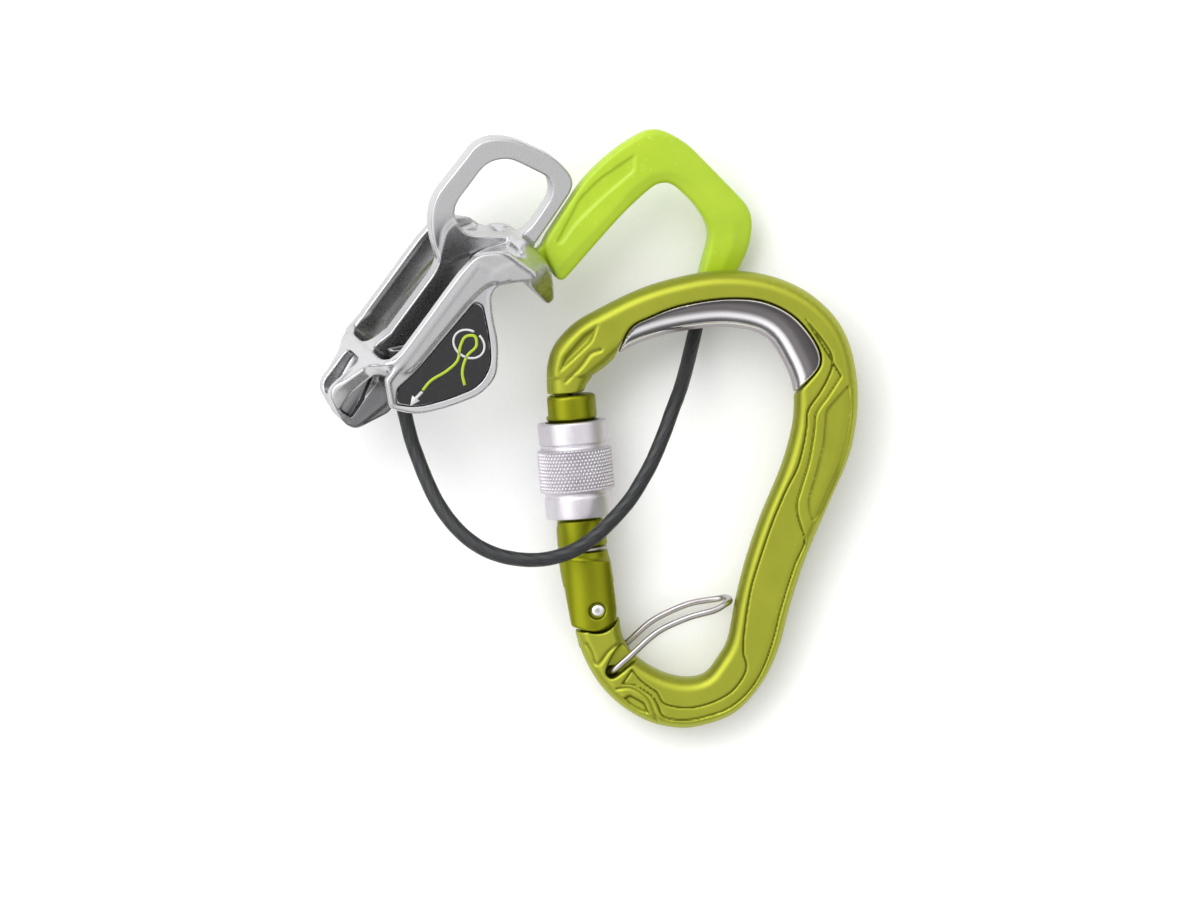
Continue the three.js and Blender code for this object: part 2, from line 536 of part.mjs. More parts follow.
function buildCarabiner() {
  const group = new THREE.Group();
  group.position.set(...CARABINER_AT);
  group.rotation.x = CARABINER_TILT;
  node(group, 'carabiner_frame', carabinerFrame(), ANODISED);
  node(group, 'bow_wear_insert', bowInsert(), STEEL);
  node(group, 'keeper_wire', tube(keeperCurve(), KEEPER_WIRE, 56, 8), WIRE_STEEL);
  const gate = new THREE.Group();
  gate.rotation.z = GATE_LEAN;
  node(gate, 'gate_body', gateBody(), ANODISED_DARK);
  node(gate, 'gate_rivet', rivet(), STEEL);
  node(gate, 'gate_plunger', plunger(), STEEL);
  node(gate, 'gate_spring', gateSpring(), WIRE_STEEL);
  const turnedParts = new THREE.Group();
  turnedParts.position.x = GATE_AXIS_X;
  node(turnedParts, 'sleeve_thread_bush', threadBush(), STEEL);
  node(turnedParts, 'screw_sleeve', screwSleeve(), LILAC_GREY);
  node(turnedParts, 'sleeve_stop_ring', tube(new StopRing(), STOP_RING_WIRE, 40, 8), WIRE_STEEL);
  gate.add(turnedParts);
  group.add(gate);
  return group;
}

// ---------- descender ----------
// the front rim joins the walls round the rounded front ends of both slots
function frontRim() {
  let rim = upright(rounded(FRONT_RIM_OUTLINE), 2 * BODY_HALF - WALL, 0, { curve: 3 });
  const inner = WEB / 2;
  const outer = BODY_HALF - WALL;
  const beyond = SLOT_FRONT + 2 * SLOT_END_REACH;
  for (const side of [-1, 1]) {
    const corners = [[SLOT_FRONT, side * inner, 3.5], [beyond, side * inner, 0.1],
      [beyond, side * outer, 0.1], [SLOT_FRONT, side * outer, 5]];
    rim = rim.subtract(plate(rounded(side > 0 ? corners : corners.reverse()), THROUGH, { curve: 4 }));
  }
  return rim;
}

function mirrored(points) {
  return points.map(([x, y, r]) => [x, -y, r]).reverse();
}

function shrunk(points, factor, [x0, y0]) {
  return points.map(([x, y, r]) => [x0 + (x - x0) * factor, y0 + (y - y0) * factor, r]);
}

// the upright rear wall narrows to a hook, and its two rear corners are drawn inwards
function rearWall() {
  const taper = plate(rounded(REAR_TAPER), THROUGH, { curve: 4 });
  const wall = upright(rounded(REAR_OUTLINE), 2 * BODY_HALF - 1, 0);
  return wall.intersect(turn(taper, [Math.PI / 2, 0, Math.PI / 2], [25, 0, 0]));
}

function noseDeck() {
  const deck = upright(rounded(NOSE_DECK), 2 * BODY_HALF, 0, { curve: 4 });
  return deck.intersect(plate(rounded(DECK_PLAN), THROUGH, { curve: 4 }));
}

function descenderBody() {
  const wallMid = BODY_HALF - WALL / 2;
  let body = upright(rounded(WEB_OUTLINE), WEB, 0, { curve: 3 });
  body = body.add(upright(rounded(EYE_OUTER), WEB, 0, { bevel: 0.7, segments: 1, curve: 5 }));
  body = body.add(upright(rounded(BRIDGE_OUTLINE), 2 * BODY_HALF - 1, 0, { curve: 3 }));
  body = body.add(frontRim());
  body = body.add(upright(rounded(NOSE_OUTLINE), 2 * NOSE_HALF, 0,
    { bevel: 0.5, segments: 1, curve: 4 }));
  body = body.add(noseDeck());
  body = body.add(rearWall());
  for (const side of [-1, 1]) {
    body = body.add(upright(rounded(WALL_OUTLINE), WALL, side * wallMid,
      { bevel: 0.5, segments: 1, curve: 3 }));
  }
  for (const side of [-1, 1]) {
    // the front corner is rounded above the fin
    const front = rounded(side > 0 ? FRONT_CORNER : mirrored(FRONT_CORNER));
    body = body.subtract(plate(front, THROUGH, { curve: 4 }));
    const fin = upright(rounded(FIN_OUTLINE), FIN_THICKNESS, side * (FIN_FACE - FIN_THICKNESS / 2),
      { bevel: 0.3, segments: 1, curve: 4 });
    const pocket = upright(rounded(LABEL_OUTLINE), 2 * LABEL_DEPTH, side * FIN_FACE, { curve: 3 });
    body = body.add(fin.subtract(pocket));
    // the flat flange between the nose and the front of each fin
    body = body.add(upright(rounded(FLANGE_OUTLINE), FLANGE_THICKNESS, side * FLANGE_AT, { curve: 2 }));
    // the drawn-in rear corner
    const corner = polygon([[26.6, side * 17], [36, side * 3.2], [40, side * 3.2], [40, side * 20]]);
    body = body.subtract(plate(corner, 2 * THROUGH));
  }
  body = body.subtract(upright(rounded(EYE_HOLE), 10, 0, { curve: 5 }));
  const nosePocket = plate(rounded(POCKET_PLAN), POCKET_HEIGHT, { curve: 5 });
  const pocketAt = [0, 0, POCKET_FLOOR + POCKET_HEIGHT / 2];
  body = body.subtract(turn(nosePocket, [0, 0, 0], pocketAt));
  // boss and bore for the cable's ferrule
  const boss = along(FERRULE_TOP, FERRULE_END, FERRULE_RADIUS + 1.6, 20);
  const bore = along(FERRULE_TOP, FERRULE_MOUTH, FERRULE_RADIUS + GAP, 20);
  const anchorBore = turn(rod(ANCHOR_RADIUS + GAP, -9, 9, 14), [0, 0, 0], ANCHOR_AT);
  // the slot through the rear wall that the handle's tang sits in
  const tangSlot = handlePlace(upright(polygon(TANG_SLOT), TANG_THICKNESS + 2 * GAP, 0));
  const pinBore = handlePlace(turn(rod(TANG_PIN_RADIUS + GAP, -5, 5, 14), [0, 0, 0],
    inHandle(TANG_PIN_AT)));
  return body.add(boss).subtract(bore).subtract(anchorBore).subtract(tangSlot).subtract(pinBore);
}

function bodyFerrule() {
  const body = along([-7.9, 0, -5.5], [-12.9, 0, -10.73], FERRULE_RADIUS, 20);
  return body.subtract(turn(rod(ANCHOR_RADIUS + GAP, -4.5, 4.5, 14), [0, 0, 0], ANCHOR_AT));
}

function anchorPin() {
  return turn(rod(ANCHOR_RADIUS, -4.3, 4.3, 14), [0, 0, 0], ANCHOR_AT);
}

// puts a piece drawn in the handle's own plane into the device
function handlePlace(body) {
  const lean = new THREE.Matrix4().makeRotationX(-HANDLE_LEAN);
  const toLine = new THREE.Matrix4().makeTranslation(0, 0, -HANDLE_LINE_Z);
  const back = new THREE.Matrix4().makeTranslation(0, 0, HANDLE_LINE_Z);
  return place(body, back.multiply(lean).multiply(toLine));
}

const inHandle = ([x, z]) => [x, 0, z];

function handleCoreCurve() {
  const points = [...CORE_LINE, HANDLE_END_IN].map((p) => new THREE.Vector3(...inHandle(p)));
  return new THREE.CatmullRomCurve3(points, false, 'centripetal');
}

function thumbHandle() {
  let body = upright(rounded(HANDLE_OUTLINE), HANDLE_THICKNESS, 0,
    { bevel: 1.1, segments: 2, curve: 4 });
  body = body.add(upright(rounded(TANG_OUTLINE), TANG_THICKNESS, 0, { curve: 3 }));
  body = body.subtract(turn(rod(TANG_PIN_RADIUS + GAP, -10, 10, 14), [0, 0, 0],
    inHandle(TANG_PIN_AT)));
  const bore = along(inHandle(HANDLE_END_IN), inHandle([46, -64.28]), CABLE_RADIUS + 0.95, 16);
  const channel = solid(tube(handleCoreCurve(), CORE_RADIUS + GAP, 28, 8));
  return handlePlace(body.subtract(bore).subtract(channel));
}

function handleFerrule() {
  return handlePlace(along(inHandle([52.7, -60.67]), inHandle([49.6, -62.34]),
    CABLE_RADIUS + 0.65, 16));
}

function buildDescender() {
  const group = new THREE.Group();
  const across = new THREE.Vector3().crossVectors(DEVICE_Z, DEVICE_X);
  group.matrixAutoUpdate = false;
  group.matrix.makeBasis(DEVICE_X, across, DEVICE_Z).setPosition(...DEVICE_AT);
  node(group, 'descender_body', descenderBody(), STEEL);
  node(group, 'thumb_handle', thumbHandle(), LIME_PLASTIC);
  node(group, 'handle_core', handlePlace(solid(tube(handleCoreCurve(), CORE_RADIUS, 28, 8))),
    WIRE_STEEL);
  node(group, 'handle_pin', handlePlace(turn(rod(TANG_PIN_RADIUS, -4.6, 4.6, 14), [0, 0, 0],
    inHandle(TANG_PIN_AT))), STEEL);
  node(group, 'cable_ferrule_handle', handleFerrule(), STEEL);
  node(group, 'cable_ferrule_body', bodyFerrule(), STEEL);
  node(group, 'cable_anchor_pin', anchorPin(), STEEL);
  for (const [name, side] of [['label_plate_near', -1], ['label_plate_far', 1]]) {
    const y = side * (FIN_FACE - LABEL_DEPTH / 2);
    node(group, name, upright(rounded(shrunk(LABEL_OUTLINE, 0.94, [-2, -12.6])),
      LABEL_DEPTH - GAP, y, { curve: 3 }), CHARCOAL);
  }
  return group;
}

function keeperCable() {
  const curve = new THREE.CatmullRomCurve3(
    CABLE_ROUTE.map((p) => new THREE.Vector3(...p)), false, 'centripetal');
  return tube(curve, CABLE_RADIUS, CABLE_STEPS, CABLE_SIDES);
}

const kit = new THREE.Group();
kit.add(buildCarabiner());
kit.add(buildDescender());
node(kit, 'keeper_cable', keeperCable(), CABLE_BLACK);

export default kit;
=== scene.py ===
"""Looks of the rope descender kit: the cast body, the forged carabiner, the coated cable and their finishes.

Outlines are in millimetres in the CAD's own local frames. The carabiner lies in x-y with its zero at the gate
rivet. The descender has x along its rope slots, y across them and z out of them. Everything is put into the
shared frame in metres when its mesh is made.
"""
import math
from itertools import product

import bmesh
import bpy
import numpy as np
from mathutils import Matrix, Vector
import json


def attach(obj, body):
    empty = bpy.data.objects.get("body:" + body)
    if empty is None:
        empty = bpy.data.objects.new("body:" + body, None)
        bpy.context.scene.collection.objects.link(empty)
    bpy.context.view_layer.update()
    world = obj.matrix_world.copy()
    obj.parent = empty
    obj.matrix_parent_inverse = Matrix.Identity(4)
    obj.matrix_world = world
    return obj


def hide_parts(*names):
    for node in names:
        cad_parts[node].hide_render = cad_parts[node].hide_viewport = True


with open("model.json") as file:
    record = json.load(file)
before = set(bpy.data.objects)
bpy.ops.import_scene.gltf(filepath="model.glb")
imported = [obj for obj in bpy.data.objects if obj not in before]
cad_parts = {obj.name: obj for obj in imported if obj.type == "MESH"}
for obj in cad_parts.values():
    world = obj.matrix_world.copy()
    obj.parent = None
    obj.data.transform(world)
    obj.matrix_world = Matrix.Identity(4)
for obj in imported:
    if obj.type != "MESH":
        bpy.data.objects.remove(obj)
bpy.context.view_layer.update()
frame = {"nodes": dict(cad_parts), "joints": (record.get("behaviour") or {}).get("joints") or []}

MM = 0.001
JOINTS = {joint["name"]: joint for joint in frame["joints"]}

VIEW_WIDTH = 0.300
VIEW_CENTRE = (0.00249, -0.0055)
CAMERA_HEIGHT = 3.0
MIDDLE_HEIGHT = 0.012

camera_data = bpy.data.cameras.new("camera")
camera_data.sensor_width = 36
camera_data.lens = 36 * (CAMERA_HEIGHT - MIDDLE_HEIGHT) / VIEW_WIDTH
camera_data.clip_start, camera_data.clip_end = 0.1, 20
camera = bpy.data.objects.new("camera", camera_data)
camera.location = (*VIEW_CENTRE, CAMERA_HEIGHT)
bpy.context.collection.objects.link(camera)
bpy.context.scene.camera = camera


# ---------- local frames ----------
def frame_matrix(x, y, z, at):
    """A local frame with those unit axes and that origin in metres, for points in millimetres."""
    turn = Matrix((x, y, z)).transposed().to_4x4()
    return Matrix.Translation(at) @ turn @ Matrix.Scale(MM, 4)


def carabiner_frame_matrix():
    pivot = JOINTS["gate_pivot"]
    normal = -Vector(pivot["axis"])
    right = Vector((1, 0, 0))
    return frame_matrix(right, normal.cross(right), normal, pivot["pos_m"])


def gate_frame_matrix():
    pivot = JOINTS["gate_pivot"]
    normal = -Vector(pivot["axis"])
    along = Vector(JOINTS["sleeve_turn"]["axis"])
    return frame_matrix(along.cross(normal), along, normal, pivot["pos_m"])


DEVICE_AT = Vector((-46.51, 28.65, 24.83))
DEVICE_X = Vector((0.59922, 0.79896, 0.05091)).normalized()
DEVICE_Z = Vector((-0.71559, 0.50601, 0.48154)).normalized()
DEVICE_Y = DEVICE_Z.cross(DEVICE_X)
HANDLE_LINE_Z = -17
HANDLE_LEAN = math.radians(9)

CARABINER = carabiner_frame_matrix()
GATE = gate_frame_matrix()
DEVICE = frame_matrix(DEVICE_X, DEVICE_Y, DEVICE_Z, DEVICE_AT * MM)
HANDLE = (DEVICE @ Matrix.Translation((0, 0, HANDLE_LINE_Z)) @ Matrix.Rotation(-HANDLE_LEAN, 4, "X")
          @ Matrix.Translation((0, 0, -HANDLE_LINE_Z)))
ROW = Matrix.Scale(MM, 4)


# ---------- curves and outlines ----------
def catmull(points, steps=24):
    """A centripetal Catmull-Rom curve through the points, closely sampled."""
    points = np.array(points, float)
    points = np.vstack([2 * points[0] - points[1], points, 2 * points[-1] - points[-2]])
    out = []
    t = np.linspace(0, 1, steps, endpoint=False)[:, None]
    for before, start, end, after in zip(points, points[1:], points[2:], points[3:]):
        gaps = [max(np.linalg.norm(b - a), 1e-6) ** 0.5
                for a, b in ((before, start), (start, end), (end, after))]
        lead = ((start - before) / gaps[0] - (end - before) / (gaps[0] + gaps[1])
                + (end - start) / gaps[1]) * gaps[1]
        trail = ((end - start) / gaps[1] - (after - start) / (gaps[1] + gaps[2])
                 + (after - end) / gaps[2]) * gaps[1]
        out.append((2 * t**3 - 3 * t**2 + 1) * start + (t**3 - 2 * t**2 + t) * lead
                   + (3 * t**2 - 2 * t**3) * end + (t**3 - t**2) * trail)
    return np.vstack([*out, points[-2][None]])


def spaced(points, count):
    """The same line cut into that many equal steps."""
    lengths = np.r_[0, np.cumsum(np.linalg.norm(np.diff(points, axis=0), axis=1))]
    where = np.linspace(0, lengths[-1], count + 1)
    return np.stack([np.interp(where, lengths, column) for column in points.T], axis=1)


def smooth(points, count=80):
    return spaced(catmull(points), count)


def rounded(points, radius=1.0, steps=6):
    """A closed outline with rounded corners; a corner may carry its own radius as a third number."""
    out = []
    for i, point in enumerate(points):
        before = np.array(points[i - 1][:2], float)
        corner = np.array(point[:2], float)
        after = np.array(points[(i + 1) % len(points)][:2], float)
        reach = min(point[2] if len(point) > 2 else radius,
                    0.48 * np.linalg.norm(corner - before), 0.48 * np.linalg.norm(corner - after))
        start = corner + (before - corner) / np.linalg.norm(before - corner) * reach
        end = corner + (after - corner) / np.linalg.norm(after - corner) * reach
        for t in np.linspace(0, 1, steps):
            out.append((1 - t)**2 * start + 2 * t * (1 - t) * corner + t**2 * end)
    return np.array(out)


# ---------- signed distance fields ----------
class Grid:
    """Sample points in a box, in millimetres; x, y and z broadcast against each other."""

    def __init__(self, low, high, step):
        self.step = step
        self.low = np.array(low, float)
        axes = [np.arange(a, b + step, step, dtype=np.float32) for a, b in zip(low, high)]
        self.x = axes[0][:, None, None]
        self.y = axes[1][None, :, None]
        self.z = axes[2][None, None, :]


def outline_distance(outline, u, v):
    """Distance to a closed outline, negative inside, for every pair of u and v."""
    u, v = np.broadcast_arrays(u, v)
    nearest = np.full(u.shape, 1e9, np.float32)
    inside = np.zeros(u.shape, bool)
    for (au, av), (bu, bv) in zip(outline, np.roll(outline, -1, axis=0)):
        du, dv = bu - au, bv - av
        span = du * du + dv * dv
        if span < 1e-12:
            continue
        t = np.clip(((u - au) * du + (v - av) * dv) / span, 0, 1)
        np.minimum(nearest, (u - au - t * du)**2 + (v - av - t * dv)**2, out=nearest)
        if av != bv:
            inside ^= ((av > v) != (bv > v)) & (u < du * (v - av) / dv + au)
    return np.where(inside, -1, 1) * np.sqrt(nearest)


def plan_of(grid, outline):
    """Distance to an outline drawn in x-y."""
    return outline_distance(outline, grid.x, grid.y)


def line_distance(line, u, v):
    """Distance to an open line of points, for every pair of u and v."""
    u, v = np.broadcast_arrays(u, v)
    nearest = np.full(u.shape, 1e9, np.float32)
    for (au, av), (bu, bv) in zip(line, line[1:]):
        du, dv = bu - au, bv - av
        t = np.clip(((u - au) * du + (v - av) * dv) / max(du * du + dv * dv, 1e-9), 0, 1)
        np.minimum(nearest, (u - au - t * du)**2 + (v - av - t * dv)**2, out=nearest)
    return np.sqrt(nearest)


def slab(flat, across, half, radius=0.3):
    """A plate: flat is its outline's distance, across the distance from its middle plane."""
    a = flat + radius
    b = np.abs(across) - half + radius
    return np.minimum(np.maximum(a, b), 0) + np.hypot(np.maximum(a, 0), np.maximum(b, 0)) - radius


def join(a, b, blend=0.6):
    h = np.maximum(blend - np.abs(a - b), 0) / blend
    return np.minimum(a, b) - h * h * blend / 4


def keep(a, b, blend=0.4):
    h = np.maximum(blend - np.abs(a - b), 0) / blend
    return np.maximum(a, b) + h * h * blend / 4


def cut(a, b, blend=0.4):
    return keep(a, -b, blend)


def meet(*fields):
    """What all the fields share, with sharp edges."""
    whole = fields[0]
    for field in fields[1:]:
        whole = np.maximum(whole, field)
    return whole


def ramp(value, low, high):
    t = np.clip((value - low) / (high - low), 0, 1)
    return t * t * (3 - 2 * t)


def rod_distance(grid, start, end, radius):
    """A rod with flat ends between two points."""
    start, end = np.array(start, float), np.array(end, float)
    axis = (end - start) / np.linalg.norm(end - start)
    px, py, pz = grid.x - start[0], grid.y - start[1], grid.z - start[2]
    along = px * axis[0] + py * axis[1] + pz * axis[2]
    off = np.sqrt(np.maximum(px * px + py * py + pz * pz - along * along, 0))
    return meet(off - radius, -along, along - np.linalg.norm(end - start))


def surface(grid, field):
    """The field's zero surface as a mesh of quads (surface nets)."""
    field = np.ascontiguousarray(field, np.float32)
    inside = field < 0
    nx, ny, nz = field.shape
    count = np.zeros((nx - 1, ny - 1, nz - 1), np.uint8)
    for i, j, k in product((0, 1), repeat=3):
        count += inside[i:nx - 1 + i, j:ny - 1 + j, k:nz - 1 + k]
    mixed = (count > 0) & (count < 8)
    cells = np.argwhere(mixed)
    index = np.full(mixed.shape, -1, np.int64)
    index[mixed] = np.arange(len(cells))
    total, hits = np.zeros((len(cells), 3)), np.zeros(len(cells))
    for axis in range(3):
        for u, v in product((0, 1), repeat=2):
            near = np.insert([u, v], axis, 0)
            far = np.insert([u, v], axis, 1)
            a = field[tuple((cells + near).T)]
            b = field[tuple((cells + far).T)]
            crossed = (a < 0) != (b < 0)
            t = np.where(crossed, a / np.where(crossed, a - b, 1), 0)
            points = (cells + near).astype(float)
            points[:, axis] += t
            total += points * crossed[:, None]
            hits += crossed
    verts = grid.low + grid.step * total / hits[:, None]
    quads = []
    for axis in range(3):
        first, second = (axis + 1) % 3, (axis + 2) % 3
        span = [slice(1, n - 1) for n in field.shape]
        span[axis] = slice(0, field.shape[axis] - 1)
        ahead = list(span)
        ahead[axis] = slice(1, field.shape[axis])
        a, b = inside[tuple(span)], inside[tuple(ahead)]
        corner = np.argwhere(a != b) + [s.start for s in span]
        outward = a[a != b]
        du, dv = np.eye(3, dtype=int)[first], np.eye(3, dtype=int)[second]
        ring = [index[tuple((corner - shift).T)] for shift in (du + dv, dv, 0 * du, du)]
        quad = np.stack(ring, axis=1)
        quad[~outward] = quad[~outward][:, ::-1]
        quads.append(quad)
    return verts, np.vstack(quads)


# ---------- meshes from formulas ----------
def sheet_faces(rows, columns, closed=True):
    """Quads of a grid of points; closed joins the last column to the first."""
    i, j = np.meshgrid(np.arange(rows - 1), np.arange(columns if closed else columns - 1), indexing="ij")
    a, b = i * columns + j, i * columns + (j + 1) % columns
    return np.stack([a, b, b + columns, a + columns], axis=-1).reshape(-1, 4)


def sweep(path, radius, sides=24, relief=None):
    """A round bar along the path, closed at both ends. relief(t, angle) adds to the radius."""
    path = np.array(path, float)
    tangent = np.gradient(path, axis=0)
    tangent /= np.linalg.norm(tangent, axis=1)[:, None]
    lengths = np.r_[0, np.cumsum(np.linalg.norm(np.diff(path, axis=0), axis=1))]
    side = np.cross(tangent[0], [0.3, 0.5, 0.81])
    side /= np.linalg.norm(side)
    angle = np.linspace(0, 2 * math.pi, sides, endpoint=False)
    rings = []
    for point, along, length in zip(path, tangent, lengths):
        side = side - along * side.dot(along)
        side /= np.linalg.norm(side)
        up = np.cross(along, side)
        reach = radius + (relief(length, angle) if relief else 0 * angle)
        rings.append(point + reach[:, None] * (np.cos(angle)[:, None] * side + np.sin(angle)[:, None] * up))
    rings = [rings[0] * 0 + path[0], *rings, rings[-1] * 0 + path[-1]]
    return np.vstack(rings), sheet_faces(len(rings), sides)


def lathe(profile, sides=96, relief=None):
    """A closed turned ring about local y from (radius, y) pairs.

    relief(radius, y, angle) adds to the radius.
    """
    profile = np.array(profile, float)
    angle = np.linspace(0, 2 * math.pi, sides, endpoint=False)
    radius, y = profile[:, 0][:, None], profile[:, 1][:, None]
    reach = radius + (relief(radius, y, angle[None]) if relief else 0 * angle[None])
    verts = np.stack([reach * np.cos(angle), y + 0 * reach, reach * np.sin(angle)], axis=-1)
    return verts.reshape(-1, 3), sheet_faces(len(profile), sides)[:, ::-1]


def piece(name, shape, matrix, body, slot, material, replaces=(), flat_above=None):
    """Makes the object that shows, in the shared frame, and lets it ride on its body."""
    verts, faces = shape
    mesh = bpy.data.meshes.new(name)
    points = np.c_[verts, np.ones(len(verts))] @ np.array(matrix).T
    mesh.from_pydata(points[:, :3], [], [list(face) for face in faces])
    mesh.validate()
    mesh.update()
    made = bpy.data.objects.new(name, mesh)
    bpy.context.collection.objects.link(made)
    merge(mesh)
    mesh.shade_smooth()
    if flat_above:
        mesh.set_sharp_from_angle(angle=math.radians(flat_above))
    mesh.materials.append(material)
    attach(made, body)
    if replaces:
        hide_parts(*replaces)
    return made


def merge(mesh):
    """Joins points that fall together, such as the caps' rings."""
    work = bmesh.new()
    work.from_mesh(mesh)
    bmesh.ops.remove_doubles(work, verts=work.verts, dist=1e-7)
    work.to_mesh(mesh)
    work.free()


def relaxed(shape, rounds):
    """Evens out the small ripples of a surface without shrinking it."""
    verts, faces = shape
    ends = np.vstack([faces[:, [0, 1]], faces[:, [1, 2]], faces[:, [2, 3]], faces[:, [3, 0]]])
    count = np.bincount(ends[:, 0], minlength=len(verts)) + np.bincount(ends[:, 1], minlength=len(verts))
    for _ in range(rounds):
        for factor in (0.5, -0.52):
            total = np.stack([np.bincount(ends[:, 0], verts[ends[:, 1], i], len(verts))
                              + np.bincount(ends[:, 1], verts[ends[:, 0], i], len(verts))
                              for i in range(3)], axis=1)
            verts = verts + factor * (total / count[:, None] - verts)
    return verts, faces


def carved(name, grid, field, *rest, rounds=2):
    """The piece whose surface is the field's zero surface."""
    return piece(name, relaxed(surface(grid, field), rounds), *rest)


# ---------- finishes ----------
NOISE_SPAN = (0.3, 0.7)     # the part of 0 to 1 that noise mostly stays in


class Nodes:
    """A node tree with helpers that add a node and hand back its output."""

    def __init__(self, tree):
        self.tree = tree

    def add(self, kind, **settings):
        made = self.tree.nodes.new(kind)
        for name, value in settings.items():
            setattr(made, name, value)
        return made

    def link(self, value, socket):
        if isinstance(value, bpy.types.NodeSocket):
            self.tree.links.new(value, socket)
        else:
            socket.default_value = value

    def range(self, value, low, high, to_low, to_high):
        made = self.add("ShaderNodeMapRange")
        self.link(value, made.inputs["Value"])
        for socket, number in zip(("From Min", "From Max", "To Min", "To Max"), (low, high, to_low, to_high)):
            made.inputs[socket].default_value = number
        return made.outputs["Result"]

    def math(self, operation, a, b=0.0):
        made = self.add("ShaderNodeMath", operation=operation)
        self.link(a, made.inputs[0])
        self.link(b, made.inputs[1])
        return made.outputs[0]

    def dot(self, value, direction):
        made = self.add("ShaderNodeVectorMath", operation="DOT_PRODUCT")
        self.link(value, made.inputs[0])
        made.inputs[1].default_value = direction
        return made.outputs["Value"]

    def upward(self, value):
        """The z part of a vector."""
        made = self.add("ShaderNodeSeparateXYZ")
        self.link(value, made.inputs["Vector"])
        return made.outputs["Z"]


class Finish(Nodes):
    """A material with one shader and a few helpers that add its procedural detail."""

    def __init__(self, name, colour, metallic, roughness, **sockets):
        self.material = bpy.data.materials.new(name)
        self.material.use_nodes = True
        super().__init__(self.material.node_tree)
        self.shader = self.tree.nodes["Principled BSDF"]
        self.place = self.add("ShaderNodeTexCoord").outputs["Object"]
        self.shader.inputs["Base Color"].default_value = (*colour, 1)
        self.shader.inputs["Metallic"].default_value = metallic
        self.shader.inputs["Roughness"].default_value = roughness
        for socket, value in sockets.items():
            self.shader.inputs[socket.replace("_", " ")].default_value = value

    def noise(self, size_mm, detail=3.0, stretch=(1, 1, 1), turn=(0, 0, 0), rough=0.55):
        """Noise whose patches are about size_mm across, stretched along the turned axes."""
        mapping = self.add("ShaderNodeMapping")
        mapping.vector_type = "TEXTURE"
        self.link(self.place, mapping.inputs["Vector"])
        mapping.inputs["Scale"].default_value = stretch
        mapping.inputs["Rotation"].default_value = turn
        made = self.add("ShaderNodeTexNoise")
        self.link(mapping.outputs["Vector"], made.inputs["Vector"])
        made.inputs["Scale"].default_value = 1 / (size_mm * MM)
        made.inputs["Detail"].default_value = detail
        made.inputs["Roughness"].default_value = rough
        return made.outputs["Fac"]

    def blend(self, factor, a, b):
        made = self.add("ShaderNodeMix", data_type="RGBA")
        self.link(factor, made.inputs["Factor"])
        self.link(a if isinstance(a, bpy.types.NodeSocket) else (*a, 1), made.inputs[6])
        self.link(b if isinstance(b, bpy.types.NodeSocket) else (*b, 1), made.inputs[7])
        return made.outputs[2]

    def mottled(self, noise, one, other):
        """A colour that wanders between two with the noise."""
        return self.blend(self.range(noise, *NOISE_SPAN, 0, 1), one, other)

    def wear(self, low, high):
        """How far a point lies towards an outward edge, from 0 to 1; it marks worn edges and, low down, the
        inner corners that get painted shade.
        """
        return self.range(self.add("ShaderNodeNewGeometry").outputs["Pointiness"], low, high, 0, 1)

    def clear_of_crease_shade(self):
        """1 on open surface, 0 in a tight inner corner, where painted shade goes."""
        return self.wear(0.44, 0.495)

    def facing(self):
        """How far a point faces up: 1 on top, 0 on a wall, -1 underneath."""
        return self.upward(self.add("ShaderNodeTexCoord").outputs["Normal"])

    def along(self, axis):
        """How far a point of the descender lies along the axis, in millimetres."""
        return self.math("SUBTRACT", self.dot(self.place, axis / MM), axis.dot(DEVICE_AT))

    def colour(self, value):
        self.link(value, self.shader.inputs["Base Color"])

    def roughness(self, value):
        self.link(value, self.shader.inputs["Roughness"])

    def bump(self, height, depth_mm, strength=1.0):
        made = self.add("ShaderNodeBump")
        made.inputs["Distance"].default_value = depth_mm * MM
        made.inputs["Strength"].default_value = strength
        self.link(height, made.inputs["Height"])
        before = self.shader.inputs["Normal"].links
        if before:
            self.link(before[0].from_socket, made.inputs["Normal"])
        self.link(made.outputs["Normal"], self.shader.inputs["Normal"])
        return self


def anodised(name, colour, worn, roughness=0.42, edged=True):
    """Bead-blasted and dyed aluminium: a fine satin grain, faint clouds, and slightly paler worn edges.

    edged is for forged pieces, whose edges are rubbed and whose tight inner corners get painted shade.
    """
    made = Finish(name, colour, 1.0, roughness)
    clouds = made.noise(9, detail=4)
    grain = made.noise(0.12, detail=2)
    scuffs = made.noise(0.5, detail=5, stretch=(1, 9, 1), turn=(0, 0, 0.5))
    base = made.mottled(clouds, [c * 0.94 for c in colour], colour)
    if edged:
        rubbed = made.math("MULTIPLY", made.wear(0.52, 0.6), made.range(scuffs, 0.35, 0.65, 0.05, 0.45))
        # painted shade: tight inner corners fall to 0.3 of the colour; the rubbed edges are paler wear
        base = made.blend(made.clear_of_crease_shade(), [c * 0.3 for c in colour], made.blend(rubbed, base, worn))
    else:
        base = made.blend(made.range(scuffs, 0.5, 0.7, 0, 0.3), base, worn)
    made.colour(base)
    spread = [made.range(noise, *NOISE_SPAN, -0.02, 0.02) for noise in (clouds, scuffs)]
    made.roughness(made.math("ADD", made.math("ADD", *spread), roughness))
    made.bump(grain, 0.006, 0.5).bump(scuffs, 0.003, 0.3)
    return made.material


# where the painted shade inside the rope slots ends, in millimetres across, out of and along the descender
SLOT_SIDE_FADE = (12.4, 13.6)
SLOT_TOP_FADE = (-2.5, 2.5)
SLOT_REAR_FADE = (20, 25)


